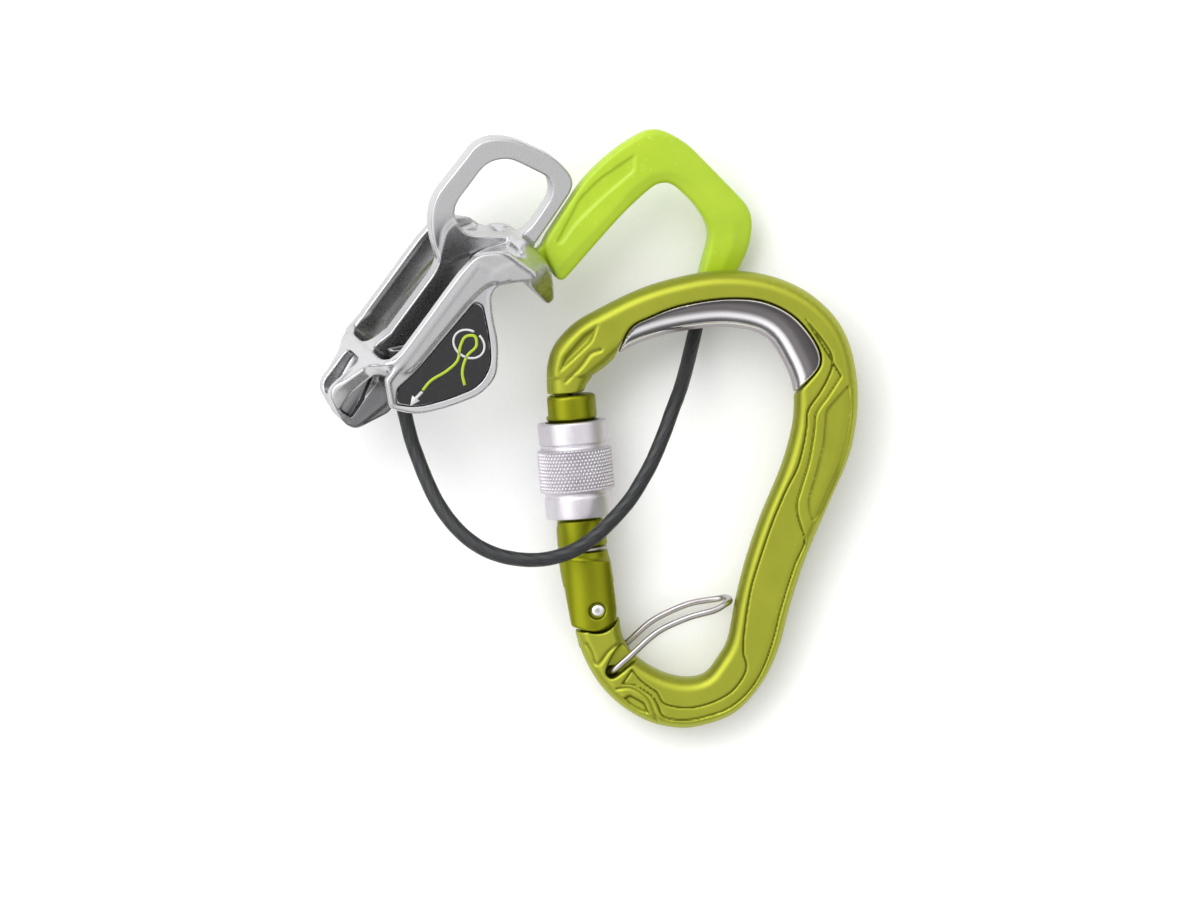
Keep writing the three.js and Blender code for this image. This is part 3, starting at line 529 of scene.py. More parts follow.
def cast_steel():
    """Tumbled stainless casting: a satin polish with a fine grain and faint hand scratches."""
    made = Finish("cast_steel", (0.62, 0.62, 0.63), 1.0, 0.27)
    clouds = made.noise(7, detail=4)
    peel = made.noise(1.3, detail=2)
    grain = made.noise(0.14, detail=3)
    scratch = made.noise(0.16, detail=4, stretch=(1, 26, 1), turn=(0.2, 0.1, -0.9))
    base = made.mottled(grain, (0.53, 0.53, 0.54), (0.62, 0.62, 0.63))
    # painted shade: the rope slots and the faces that turn away from above are darkened where shade falls
    slot_shade = 0.8
    for offset, fade in ((made.math("ABSOLUTE", made.along(DEVICE_Y)), SLOT_SIDE_FADE),
                         (made.along(DEVICE_Z), SLOT_TOP_FADE), (made.along(DEVICE_X), SLOT_REAR_FADE)):
        slot_shade = made.math("MULTIPLY", slot_shade, made.range(offset, *fade, 1, 0))
    steep = made.range(made.facing(), -0.1, 0.45, 0.75, 0)
    base = made.blend(made.math("MAXIMUM", slot_shade, steep), base, (0.13, 0.13, 0.135))
    # painted shade: tight inner corners go almost black
    made.colour(made.blend(made.clear_of_crease_shade(), (0.1, 0.1, 0.11), base))
    made.roughness(made.math("ADD", made.range(clouds, *NOISE_SPAN, 0.23, 0.29),
                             made.range(scratch, 0.45, 0.7, 0, 0.06)))
    made.bump(peel, 0.006, 0.35).bump(grain, 0.006, 0.5).bump(scratch, 0.002, 0.3)
    return made.material


def polished_steel(name, colour, roughness, stretch=(1, 1, 1), turn=(0, 0, 0), flank=None, painted_dark_reflection=None):
    """Drawn or polished stainless with a fine directional grain.

    flank is the duller colour of its steep sides; the last colour is a dark reflection painted on its level
    faces.
    """
    made = Finish(name, colour, 1.0, roughness)
    grain = made.noise(0.14, detail=3, stretch=stretch, turn=turn)
    clouds = made.noise(4, detail=4)
    base = made.mottled(clouds, [c * 0.94 for c in colour], colour)
    sheen = made.math("ADD", made.range(clouds, *NOISE_SPAN, -0.02, 0.03),
                      made.range(grain, 0.4, 0.7, roughness, roughness + 0.06))
    if flank:
        level = made.math("ABSOLUTE", made.facing())
        steep = made.range(level, 0.46, 0.56, 1, 0)
        base = made.blend(steep, base, flank)
        # painted reflection: the level faces take a dark colour
        base = made.blend(made.range(level, 0.87, 0.92, 0, 1), base, painted_dark_reflection)
        sheen = made.math("ADD", sheen, made.math("MULTIPLY", steep, 0.3))
    made.colour(base)
    made.roughness(sheen)
    made.bump(grain, 0.002, 0.4)
    return made.material


def moulded_lime():
    """Semi-gloss nylon: fine spark-eroded texture, faint flow clouds and paler rubbed edges."""
    colour = (0.38, 0.54, 0.014)
    made = Finish("moulded_lime", colour, 0.0, 0.36, Specular_IOR_Level=0.5)
    clouds = made.noise(12, detail=3)
    texture = made.noise(0.22, detail=3)
    marks = made.noise(0.3, detail=5, stretch=(1, 12, 1), turn=(0, 0, 0.7))
    base = made.mottled(clouds, (0.355, 0.51, 0.012), (0.405, 0.57, 0.018))
    rubbed = made.math("MULTIPLY", made.wear(0.57, 0.7), 0.35)
    made.colour(made.blend(rubbed, base, (0.55, 0.75, 0.12)))
    made.roughness(made.math("ADD", made.range(texture, *NOISE_SPAN, 0.30, 0.42),
                             made.range(marks, 0.5, 0.75, 0, 0.1)))
    made.bump(texture, 0.012, 0.5).bump(marks, 0.006, 0.3)
    return made.material


def charcoal_label():
    """Matt charcoal inlay with a fine grain and light scuffs."""
    made = Finish("charcoal_label", (0.02, 0.02, 0.022), 0.0, 0.55)
    grain = made.noise(0.1, detail=3)
    scuffs = made.noise(0.35, detail=5, stretch=(1, 14, 1), turn=(0.4, 0.2, -0.6))
    made.colour(made.blend(made.range(scuffs, 0.5, 0.8, 0, 0.6), (0.018, 0.018, 0.02), (0.05, 0.05, 0.053)))
    made.roughness(made.range(scuffs, *NOISE_SPAN, 0.45, 0.62))
    made.bump(grain, 0.006, 0.5)
    return made.material


def coated_cable():
    """Black nylon drawn tight over a twisted steel cable."""
    made = Finish("coated_cable", (0.02, 0.021, 0.022), 0.0, 0.38, Specular_IOR_Level=0.45)
    grain = made.noise(0.2, detail=4)
    dust = made.noise(1.6, detail=6, rough=0.7)
    made.colour(made.blend(made.range(dust, 0.4, 0.8, 0, 1), (0.012, 0.013, 0.014), (0.024, 0.026, 0.028)))
    made.roughness(made.range(dust, *NOISE_SPAN, 0.32, 0.5))
    made.bump(grain, 0.01, 0.5)
    return made.material


def printed(name, colour):
    """A thin printed line on the label."""
    made = Finish(name, colour, 0.0, 0.5)
    speckle = made.noise(0.12, detail=4)
    made.colour(made.blend(made.range(speckle, 0.55, 0.75, 0, 0.5), colour, [c * 0.5 for c in colour]))
    made.bump(speckle, 0.003, 0.4)
    return made.material


LIME_ANODISED = anodised("lime_anodised", (0.36, 0.385, 0.042), (0.52, 0.55, 0.1), 0.47)
OLIVE_ANODISED = anodised("olive_anodised", (0.25, 0.265, 0.012), (0.42, 0.44, 0.05), 0.42)
LILAC_ANODISED = anodised("lilac_anodised", (0.68, 0.65, 0.69), (0.84, 0.82, 0.85), 0.48, edged=False)
CAST_STEEL = cast_steel()
# the insert's level faces carry a painted dark reflection
POLISHED = polished_steel("polished_insert", (0.80, 0.78, 0.80), 0.09, flank=(0.46, 0.42, 0.44),
                          painted_dark_reflection=(0.13, 0.12, 0.124))
WIRE = polished_steel("drawn_wire", (0.47, 0.44, 0.44), 0.27, stretch=(1, 8, 1), turn=(0, 0, 0.7))
TURNED = polished_steel("turned_steel", (0.66, 0.65, 0.65), 0.2)
LIME_PLASTIC = moulded_lime()
CHARCOAL = charcoal_label()
CABLE = coated_cable()


# ---------- keeper cable ----------
CABLE_RADIUS = 1.8
CABLE_ROUTE = [
    (-48.0, 8.7, 17.9), (-46.8, 5.5, 16.6), (-46.1, 3.0, 15.9), (-44.6, -3.0, 15.6),
    (-42.8, -8.0, 16.3), (-40.8, -13.0, 17.4), (-38.1, -18.5, 18.7), (-34.6, -23.5, 20.0),
    (-30.6, -27.5, 21.1), (-26.3, -30.3, 21.9), (-21.3, -32.1, 22.5), (-15.1, -32.9, 23.0),
    (-10.1, -32.5, 23.1), (-5.1, -31.0, 23.1), (-0.1, -28.1, 23.0), (5.2, -23.3, 23.0),
    (10.0, -17.8, 22.8), (13.0, -13.0, 22.4), (15.3, -8.8, 22.1), (18.6, -1.0, 21.0),
    (20.5, 4.3, 18.9), (22.4, 9.3, 15.4), (23.9, 14.3, 10.9), (25.2, 19.5, 6.9),
    (26.1, 23.3, 5.3), (27.0, 27.1, 4.3), (27.9, 30.7, 4.0), (28.4, 32.9, 4.0),
]
STRANDS = 12
STRAND_LAY = 60             # length of one turn of a strand, mm
STRAND_RELIEF = 0.1


def strand_relief(length, angle):
    phase = STRANDS * (angle - 2 * math.pi * length / STRAND_LAY)
    return STRAND_RELIEF * (np.abs(np.cos(phase / 2)) - 1)


def keeper_cable():
    path = spaced(catmull(CABLE_ROUTE), 420)
    made = piece("keeper_cable_coated", sweep(path, CABLE_RADIUS, 56, strand_relief), ROW, "descender",
                 "coated_cable", CABLE, ["keeper_cable"], flat_above=60)


keeper_cable()

# ---------- carabiner ----------
FRAME_THICKNESS = 12.2
FRAME_SHRINK = 0.06         # keeps the forging inside its CAD solid
EDGE_ROUND = 3.4
EDGE_DEPTH = 4.4
GATE_AXIS_X = -2.4
GATE_RADIUS = 6.35
GATE_CORE_RADIUS = 5.7
GATE_TOP = 54.2
COLLAR_FOOT = 47.7          # the gate's wider head starts here
RING_HEIGHT = 15.4          # the stop ring's groove round the gate
NOSE_TURN_RADIUS = 6.25
NOSE_TURN_END = 58.6
TONGUE_THICKNESS = 5.4
GATE_ROD = GATE @ Matrix.Translation((GATE_AXIS_X, 0, 0))
RIVET_RADIUS = 2.0
GAP = 0.3
KEEPER_WIRE = 0.82
KEEPER_HALF_WIDTH = 4.9
KEEPER_FRONT = (3.7, -15.4)
KEEPER_BACK = (2.3, -13.4)
FRAME_OUTER = [
    (-13.2, 48.0), (-12.7, 54.0), (-12.5, 61.0), (-11.0, 65.8), (-6.0, 71.5), (0.8, 75.5),
    (10.8, 80.3), (20.8, 83.3), (30.8, 84.8), (42.0, 83.8), (52.0, 79.8), (59.5, 73.2), (63.3, 66.0),
    (65.2, 54.8), (64.5, 44.8), (62.8, 37.8), (58.3, 27.3), (52.0, 12.3), (48.5, 1.5),
    (45.3, -10.3), (41.3, -18.5), (34.5, -26.0), (25.8, -29.3), (20.8, -29.8), (13.3, -28.3),
    (5.8, -24.0), (0.3, -18.3), (-3.5, -11.5), (-5.9, -4.0), (-7.0, 2.0),
]
FRAME_INNER = [
    (5.5, 2.0), (5.7, -2.8), (6.8, -7.8), (9.5, -11.5), (13.3, -14.3), (18.3, -16.5),
    (23.3, -17.1), (27.0, -16.0), (30.0, -12.3), (32.3, -8.3), (34.5, 2.3), (37.0, 12.3),
    (40.8, 23.5), (45.3, 34.3), (47.5, 41.0), (49.0, 48.5), (48.8, 56.0), (46.5, 62.0),
    (42.0, 68.3), (33.0, 70.7), (20.0, 69.5), (12.0, 67.3), (6.0, 64.4), (2.8, 61.5),
    (-1.0, 58.3), (-3.1, 55.3), (-3.3, 48.0),
]
# drawn in the gate's frame: the notch beside the tongue, the tongue's foot, the key of the nose
# and the rounded foot of the gate
HINGE_NOTCH = [(-12, -0.9), (-12, -4.1), (-3, -5.2), (0, -0.9)]
TONGUE_FOOT = [(-4.6, 0), (-5.2, -9), (5.0, -9), (4.6, 0)]
NOSE_KEY = [(-6.8, 57), (-6.4, 50.3), (-3.0, 50.3), (-2.4, 57)]
GATE_FOOT = [
    (-8.6, 23), (-8.7, 12), (-7.4, 3), (-6.7, -3.5, 0.6), (-3.6, -4.6, 1), (0, -5.3, 2), (4.2, -3.6, 2.4),
    (5.3, 0, 1.6), (4.3, 12), (3.9, 23),
]
BOW_FIRST, BOW_LAST = 14, 25        # the points of the inner line that lie in the bow
INSERT_OUTER = [
    (4.9, 63.6), (6.3, 67.0), (8.9, 71.2), (13.3, 73.5), (20.8, 76.3), (33.3, 78.1), (42.0, 77.3),
    (49.5, 73.3), (55.3, 65.4), (55.6, 61.6), (52.4, 57.2), (48.4, 53.4),
]
INSERT_INNER = [(46.0, 50.0), (40.0, 50.0), (20.0, 55.0), (6.0, 58.0)]
KEEPER_POCKET = [
    (-1.5, -0.7), (-0.2, -1.7), (1.4, -1.0), (9.5, 5.6), (9.5, 9.4), (3.6, 7.6), (1.0, 5.8), (-1.2, 1.6),
]
# the forged panel of the spine lies between these two lines
PANEL_INNER = [
    (8.75, -14.75), (10.75, -17.25), (13.25, -19.25), (15.0, -20.5), (16.5, -23.0), (19.5, -24.0),
    (23.25, -24.25), (27.0, -23.5), (30.75, -22.0), (33.5, -20.25), (35.5, -18.0), (37.0, -15.25),
    (37.25, -13.5), (36.5, -10.75), (36.5, -7.75), (37.0, -2.75), (37.75, 2.25), (38.6, 6.5),
    (40.75, 13.5), (43.75, 22.25), (47.25, 30.5), (50.0, 36.0), (51.6, 42.25), (52.2, 46.0),
    (52.6, 50.25), (55.5, 54.6), (57.6, 58.5), (58.7, 61.75), (58.4, 64.25), (56.4, 67.6), (52.0, 73.0),
]
PANEL_OUTER = [
    (60.9, 58.8), (57.4, 53.4), (55.6, 51.0), (54.6, 49.0), (54.2, 45.0), (52.9, 37.25), (50.9, 30.5),
    (50.0, 27.25), (50.0, 24.75), (50.75, 21.75), (52.0, 18.0), (51.75, 16.0), (50.0, 12.25),
    (48.25, 7.25), (45.9, -0.75), (44.5, -6.5), (42.75, -12.0), (40.75, -16.5), (38.25, -20.25),
    (35.75, -22.75), (32.0, -25.25), (28.25, -26.5), (24.5, -27.4), (20.75, -27.6), (17.75, -27.2),
    (16.25, -26.25), (15.0, -23.5), (13.75, -21.5), (12.0, -20.25), (9.5, -18.75), (6.25, -18.4),
]
SIDE_PANEL = [
    (63.0, 57.0), (59.5, 53.2), (57.0, 50.2), (56.4, 42.25), (54.6, 34.75), (52.7, 28.5), (52.5, 26.3),
    (53.6, 22.0), (56.0, 24.0), (60.0, 33.0), (62.6, 42.0), (63.6, 50.0),
]
LENS_POCKET = [(0.5, 71.9), (-1.25, 67.25), (-6.1, 62.6), (-9.6, 59.4), (-8.5, 63.5), (-3.4, 69.4)]
LENS_LINE = [(0.9, 65.4), (-1.6, 64.4), (-3.9, 61.4), (-6.0, 59.2), (-7.9, 57.4)]
HINGE_LINE = [(-2.6, -8.4), (-1.6, -10.2), (0.0, -13.5), (3.0, -10.1), (5.25, -8.6), (7.2, -8.9)]
HEX_POCKET = [(6.4, -21.9), (8.25, -20.9), (12.0, -23.0), (13.25, -26.0), (10.75, -25.2), (8.1, -23.7)]
TOE_LINE = [(4.9, -19.6), (8.4, -19.3), (12.6, -22.1), (14.4, -26.2), (15.2, -28.2)]


def frame_outline():
    outer, inner = smooth(FRAME_OUTER, 150), smooth(FRAME_INNER, 130)
    return np.vstack([[(-14.2, 40)], outer, [(-9.6, 12), (5.3, 12)], inner, [(-2.6, 40)]])


def forged_section(flat, height, round_in=EDGE_ROUND, round_down=EDGE_DEPTH):
    """The forging: a flat face whose edges fall away to the outline in a quarter ellipse."""
    u = np.maximum(flat + round_in, 0) / round_in
    v = np.maximum(height - (FRAME_THICKNESS / 2 - round_down), 0) / round_down
    return (np.sqrt(u * u + v * v) - 1) * 0.5 * (round_in + round_down)


def insert_outline(grow):
    outer = smooth(INSERT_OUTER, 70)
    away = outer - (30, 62)
    outer = outer + away / np.linalg.norm(away, axis=1)[:, None] * grow
    return np.vstack([outer, INSERT_INNER])


def rib_outline(set_back):
    """The bow's inner line, set back, with the rest of the outline clear of the bow."""
    inner = smooth(FRAME_INNER[BOW_FIRST:BOW_LAST], 60)
    away = inner - (27, 52)
    inner = inner + away / np.linalg.norm(away, axis=1)[:, None] * set_back
    return np.vstack([inner, [(4, 74), (20, 80), (42, 80.5), (60, 66), (56, 46)]])


def frame_relief(grid):
    """How far the forged detail lies below the flat face."""
    x, y = grid.x, grid.y
    # a sunken field inside a deeper line round its edge
    panel = outline_distance(np.vstack([catmull(PANEL_INNER, 6), catmull(PANEL_OUTER, 6)]), x, y)
    depth = 0.55 * ramp(-panel, -0.2, 0.4)
    depth = np.maximum(depth, 0.9 * ramp(0.5 - np.abs(panel + 0.2), 0, 0.5))
    for outline, corner, deep, low, high in (
            (SIDE_PANEL, 1.2, 0.5, -0.2, 0.4), (LENS_POCKET, 0.8, 1.0, -0.3, 1.2),
            (HEX_POCKET, 0.5, 1.1, -0.2, 0.6)):
        inside = -outline_distance(rounded(outline, corner), x, y)
        depth = np.maximum(depth, deep * ramp(inside, low, high))
    for line, deep, wide in ((LENS_LINE, 0.5, 0.9), (HINGE_LINE, 0.55, 0.7), (TOE_LINE, 0.5, 0.6)):
        groove = line_distance(catmull(line, 6), x, y)
        depth = np.maximum(depth, deep * ramp(wide - groove, 0, wide))
    return depth


def gate_coordinates(grid):
    """The grid's points in the gate's frame."""
    lean = math.atan2(GATE[1][0], GATE[0][0])
    return (math.cos(lean) * grid.x + math.sin(lean) * grid.y,
            math.cos(lean) * grid.y - math.sin(lean) * grid.x)


def box_distance(*ranges):
    """Distance to a box from (values, low, high) on each axis."""
    return meet(*(np.abs(values - (low + high) / 2) - (high - low) / 2 for values, low, high in ranges))


def carabiner_frame():
    grid = Grid((-14.5, -31.5, -6.6), (66.5, 86, 6.6), 0.31)
    flat = plan_of(grid, frame_outline())
    height = np.abs(grid.z)
    field = forged_section(flat + FRAME_SHRINK, height + frame_relief(grid))
    # the seat of the wear insert, round the rib that carries it
    seat = plan_of(grid, insert_outline(GAP))
    rib = meet(plan_of(grid, rib_outline(2.5)), height - 3.2)
    field = cut(field, meet(seat, -rib), 0.5)
    # the nose is turned down so that the sleeve passes over it, and ends above the gate
    gx, gy = gate_coordinates(grid)
    off = np.hypot(gx - GATE_AXIS_X, grid.z)
    beside = off - NOSE_TURN_RADIUS
    field = cut(field, meet(-beside, off - 24, 40 - gy, gy - NOSE_TURN_END - 0.1 * beside), 1.0)
    field = cut(field, box_distance((gx, -30, 4.4), (gy, 30, GATE_TOP + 0.6)), 0.5)
    # the hinge end steps down to a tongue round the rivet
    room = join(box_distance((gx, -12, 12), (gy, -1.4, 30)), np.hypot(gx, gy) - 5.75, 0.1)
    notch = outline_distance(np.array(HINGE_NOTCH), gx, gy)
    field = cut(field, join(room, notch, 0.1), 0.25)
    tongue = join(np.hypot(gx, gy) - 4.9, outline_distance(np.array(TONGUE_FOOT), gx, gy), 0.3)
    field = join(field, slab(tongue, grid.z, TONGUE_THICKNESS / 2), 0.5)
    field = cut(field, np.hypot(gx, gy) - RIVET_RADIUS - GAP, 0.3)
    key = outline_distance(rounded(NOSE_KEY, 0.7), gx, gy)
    field = join(field, slab(key, grid.z, 2.0), 0.3)
    for side, (x, y) in ((1, KEEPER_FRONT), (-1, KEEPER_BACK)):
        hole = meet(np.hypot(grid.x - x, grid.y - y) - KEEPER_WIRE - 0.45, 2.2 - side * grid.z)
        pocket = plan_of(grid, rounded([(x + u, y + v) for u, v in KEEPER_POCKET], 1.2))
        floor = KEEPER_HALF_WIDTH - KEEPER_WIRE - 2 * GAP
        field = cut(cut(field, hole, 0.4), meet(pocket, floor - side * grid.z), 0.8)
    carved("frame_forging", grid, field, CARABINER, "carabiner", "anodised_frame", LIME_ANODISED,
           ["carabiner_frame"])


CHAMFER_IN, CHAMFER_UP = 0.907, 0.422       # the chamfer's normal, out of the edge and up


def wear_insert():
    grid = Grid((4, 49, -6.6), (57.5, 79.5, 6.6), 0.3)
    flat = plan_of(grid, frame_outline())
    height = np.abs(grid.z)
    field = forged_section(flat, height, 9.5, 5.4)
    # a steep chamfer along its inner edge
    field = keep(field, CHAMFER_IN * (flat + 0.95) + CHAMFER_UP * (height - 3.05), 0.2)
    field = keep(field, plan_of(grid, insert_outline(-0.05)), 0.9)
    field = cut(field, meet(plan_of(grid, rib_outline(2.2)), height - 3.5), 0.3)
    carved("insert_saddle", grid, field, CARABINER, "carabiner", "polished_insert", POLISHED,
           ["bow_wear_insert"], rounds=4)


def gate():
    grid = Grid((-10, -7, -7), (7, 55.5, 7), 0.28)
    off = np.hypot(grid.x - GATE_AXIS_X, grid.z)
    low_rod = np.hypot(grid.x + 0.6, grid.z)
    lower = join(meet(off - GATE_RADIUS, grid.y - 22.8), meet(low_rod - GATE_RADIUS, grid.y - 12), 2.4)
    lower = keep(lower, plan_of(grid, rounded(GATE_FOOT, 3)), 0.6)
    core = meet(off - GATE_CORE_RADIUS, grid.y - 50, 12 - grid.y)
    collar = slab(off - GATE_RADIUS, grid.y - (COLLAR_FOOT + GATE_TOP) / 2, (GATE_TOP - COLLAR_FOOT) / 2, 1.0)
    field = join(join(lower, core, 0.4), collar, 0.3)
    field = cut(field, box_distance((grid.x, -12, 12), (grid.y, -10, 6.2), (grid.z, -3.0, 3.0)), 0.4)
    spring_bore = np.hypot(grid.x + 0.9, grid.z) - 1.9
    field = cut(field, meet(spring_bore, 4 - grid.y, grid.y - 20), 0.2)
    field = cut(field, np.hypot(grid.x, grid.y) - RIVET_RADIUS - 0.12, 0.35)
    field = cut(field, box_distance((grid.x, -14, -1.6), (grid.y, 49.1, 60), (grid.z, -2.3, 2.3)), 0.3)
    field = cut(field, meet(5.75 - off, np.abs(grid.y - RING_HEIGHT) - 0.7), 0.3)
    carved("gate_turned", grid, field, GATE, "gate", "anodised_gate", OLIVE_ANODISED, ["gate_body"])


KNURL_LOW, KNURL_HIGH, KNURL_RADIUS = 30.4, 40.4, 9.3
KNURL_COUNT = 60            # diamonds round the band
KNURL_LEAN = math.radians(30)
KNURL_DEPTH = 0.5


def knurl(radius, y, angle):
    """Two crossing families of grooves on the band, none elsewhere."""
    twist = y * math.tan(KNURL_LEAN) / KNURL_RADIUS
    waves = [np.abs(((angle + sign * twist) * KNURL_COUNT / (2 * math.pi)) % 1 - 0.5) * 2
             for sign in (-1, 1)]
    groove = np.maximum(ramp(waves[0], 0.45, 1), ramp(waves[1], 0.45, 1))
    band = ramp(y, KNURL_LOW, KNURL_LOW + 0.3) * ramp(-y, -KNURL_HIGH, 0.3 - KNURL_HIGH)
    return -KNURL_DEPTH * groove * band * (radius > KNURL_RADIUS - 0.1)


def lifted(profile, step):
    """The profile with points no further apart than step along it."""
    out = []
    for (r0, y0), (r1, y1) in zip(profile, profile[1:]):
        count = max(1, round(math.hypot(r1 - r0, y1 - y0) / step))
        out += [(r0 + (r1 - r0) * k / count, y0 + (y1 - y0) * k / count) for k in range(count)]
    return [*out, profile[-1]]


def sleeve():
    bore, bush_bore, bush_top = 6.75, 7.25, 32.1
    band = [(KNURL_RADIUS, y) for y in np.arange(KNURL_LOW, KNURL_HIGH + 0.05, 0.1)]
    profile = [(bush_bore, 23.4), (8.05, 23.4), (8.3, 23.5), (8.35, 23.75), (8.35, 28.4), (8.3, 28.6),
               (8.1, 28.85), (8.1, 29.6), (8.3, 29.9), (9.1, 30.15), *band, (9.1, 40.6), (8.5, 40.8),
               (8.3, 41.0), (8.3, 41.8), (8.5, 42.1), (8.7, 42.25), (8.65, 46.9), (8.6, 47.3), (8.35, 47.5),
               (bore, 47.5), (bore, bush_top), (bush_bore, bush_top), (bush_bore, 23.4)]
    shape = lathe(lifted(profile, 0.8), KNURL_COUNT * 8, knurl)
    piece("sleeve_knurled", shape, GATE_ROD, "sleeve", "anodised_sleeve", LILAC_ANODISED,
          ["screw_sleeve"], flat_above=50)


def stop_ring():
    angle = np.linspace(0.45, 2 * math.pi - 0.45, 90)
    path = np.c_[GATE_RADIUS * np.cos(angle), np.full(len(angle), RING_HEIGHT), GATE_RADIUS * np.sin(angle)]
    piece("stop_ring_wire", sweep(path, 0.4, 14), GATE_ROD, "gate", "wire_steel", WIRE, ["sleeve_stop_ring"])


def rivet():
    half = 6.1
    dome = [(r, half - 3.0 + math.sqrt(9 - r * r)) for r in (0, 0.4, 0.8, 1.2, 1.6, 1.9, 2.1)]
    head = [*[(r, -y) for r, y in dome], (2.0, 1.1 - half), (2.0, half - 1.1), *dome[::-1]]
    shape = lathe(lifted(head, 0.4), 48)
    piece("rivet_headed", shape, GATE @ Matrix.Rotation(math.pi / 2, 4, "X"), "carabiner",
          "polished_insert", TURNED, ["gate_rivet"])


def keeper_path():
    front = [KEEPER_FRONT, (8.3, -11.4), (13.4, -6.7), (16.6, -4.5), (23.3, -1.6), (29.6, 0.2)]
    back = [(29.6, 2.0), (23.3, 0.9), (16.6, -1.9), (13.2, -3.9), (7.8, -8.7), KEEPER_BACK]
    w = KEEPER_HALF_WIDTH
    (fx, fy), (bx, by) = KEEPER_FRONT, KEEPER_BACK
    return [(fx, fy, 2.6), (fx + 0.2, fy + 0.1, w - 0.9), (fx + 1.2, fy + 1.0, w),
            *[(x, y, w) for x, y in front[1:]],
            (32.0, 1.5, w - 1.2), (33.0, 2.0, 1.6), (33.0, 2.4, -1.6), (32.0, 2.5, 1.2 - w),
            *[(x, y, -w) for x, y in back[:-1]],
            (bx + 1.2, by + 1.0, -w), (bx + 0.2, by + 0.1, 0.9 - w), (bx, by, -2.6)]


def keeper_wire():
    path = spaced(catmull(keeper_path()), 260)
    piece("keeper_bent_wire", sweep(path, KEEPER_WIRE, 20), CARABINER, "keeper", "wire_steel", WIRE,
          ["keeper_wire"])


carabiner_frame()
wear_insert()
gate()
sleeve()
stop_ring()
rivet()
keeper_wire()

# ---------- descender ----------
BODY_HALF = 16
WALL = 2.5
WEB = 3.8
FIN_FACE = 15.4
NOSE_HALF = 4.2
LABEL_DEPTH = 0.6
LABEL_TOP = FIN_FACE - 0.16
FACES = (("near", -1), ("far", 1))
SLOT_FRONT = -12
SLOT_REAR = 20.5
FERRULE_RADIUS = 2.9
TANG_THICKNESS = 3.0
TANG_PIN_RADIUS = 1.1
HANDLE_THICKNESS = 6.8
WALL_OUTLINE = [
    (-15.6, 4.6, 1.5), (-10, 1.6, 4), (18, 1.8, 6), (23.6, 1.0, 4), (32.8, -11.4, 3),
    (32.0, -15.4, 2), (26.6, -16.6, 3), (24.0, -12.6, 2), (19.6, -5.8, 3), (13, -4.4, 6),
    (-9.6, -3.2, 3), (-14.6, -0.6, 2), (-16.6, 2.4, 1),
]
FIN_OUTLINE = [
    (-15.6, 0.5, 1), (22.0, 0.5, 1), (23.6, -10.2, 1.5), (17.6, -8.4, 2), (12.8, -13.0, 5), (8.8, -18.4, 5),
    (1.4, -24.0, 4), (-4.6, -23.4, 4), (-12, -18.2, 6), (-18, -12.4, 6), (-20.6, -5.2, 1.5),
]
LABEL_OUTLINE = [
    (-15.4, -3.4, 0.8), (-9, -4.8, 2), (13.4, -6.2, 1.2), (14.0, -8.6, 2), (8.0, -16.0, 4),
    (2.6, -21.0, 3), (-3.4, -21.6, 3), (-10.8, -16.4, 4), (-16.4, -11.0, 3), (-18.8, -5.8, 1),
]
LABEL_MIDDLE = (-2, -12.6)
LABEL_SHRINK = 0.965        # the plate against its recess
WEB_OUTLINE = [
    (-15, 0.4, 1), (14, 0.6, 3), (24, 6, 3), (34, 0, 6), (33, -11, 1), (31.4, -15.6, 2),
    (27.2, -17.6, 2), (21, -9.6, 3), (-4, -8.4, 1), (-8, -10.2, 2), (-12.4, -9.2, 2), (-13.4, -4.6, 2),
]
REAR_OUTLINE = [
    (30.2, -9.6, 1), (33.0, -11.4, 2), (32.4, -17.6, 3), (29.2, -24.6, 3), (24.8, -30.2, 1.2),
    (22.7, -29.3, 1), (23.4, -23.6, 3), (24.3, -18.2, 2), (26.6, -14.8, 2), (28.4, -12.0, 2),
]
REAR_TAPER = [
    (-17, 5, 1), (17, 5, 1), (17, -13.5, 2), (9.5, -19.5, 6), (3.4, -31, 2), (-3.4, -31, 2),
    (-9.5, -19.5, 6), (-17, -13.5, 2),
]
EYE_OUTER = [
    (15.3, 0.9, 3), (20.5, 8.4, 6), (27.0, 13.0, 6), (46.4, 12.6, 9), (51.2, 6.0, 7), (53.8, -8.0, 6),
    (51.6, -16.4, 5), (44, -16.9, 6), (31.5, -17.4, 2), (28.0, -8, 3),
]
EYE_HOLE = [
    (24.6, 0.6, 5), (28.0, 7.4, 4), (42.6, 7.4, 7), (46.8, 3.2, 5), (48.8, -9.6, 5), (45.4, -13.2, 4),
    (33.4, -13.8, 4),
]
NOSE_OUTLINE = [
    (-12.5, 2.8, 1), (-16.0, 4.1, 2), (-26.8, 5.5, 3.0), (-30.9, -3.4, 3), (-30.4, -7.0, 2),
    (-21.4, -12.0, 2), (-12.5, -7.6, 1),
]
NOSE_SIDE = [(-28.9, 2.2, 0.6), (-17.4, 0.6, 0.6), (-17.0, -4.6, 1), (-20.6, -8.2, 1), (-28.4, -6.2, 0.8)]
NOSE_RIB = [(-29.4, -5.0), (-24.0, -4.4), (-17.4, -2.6)]
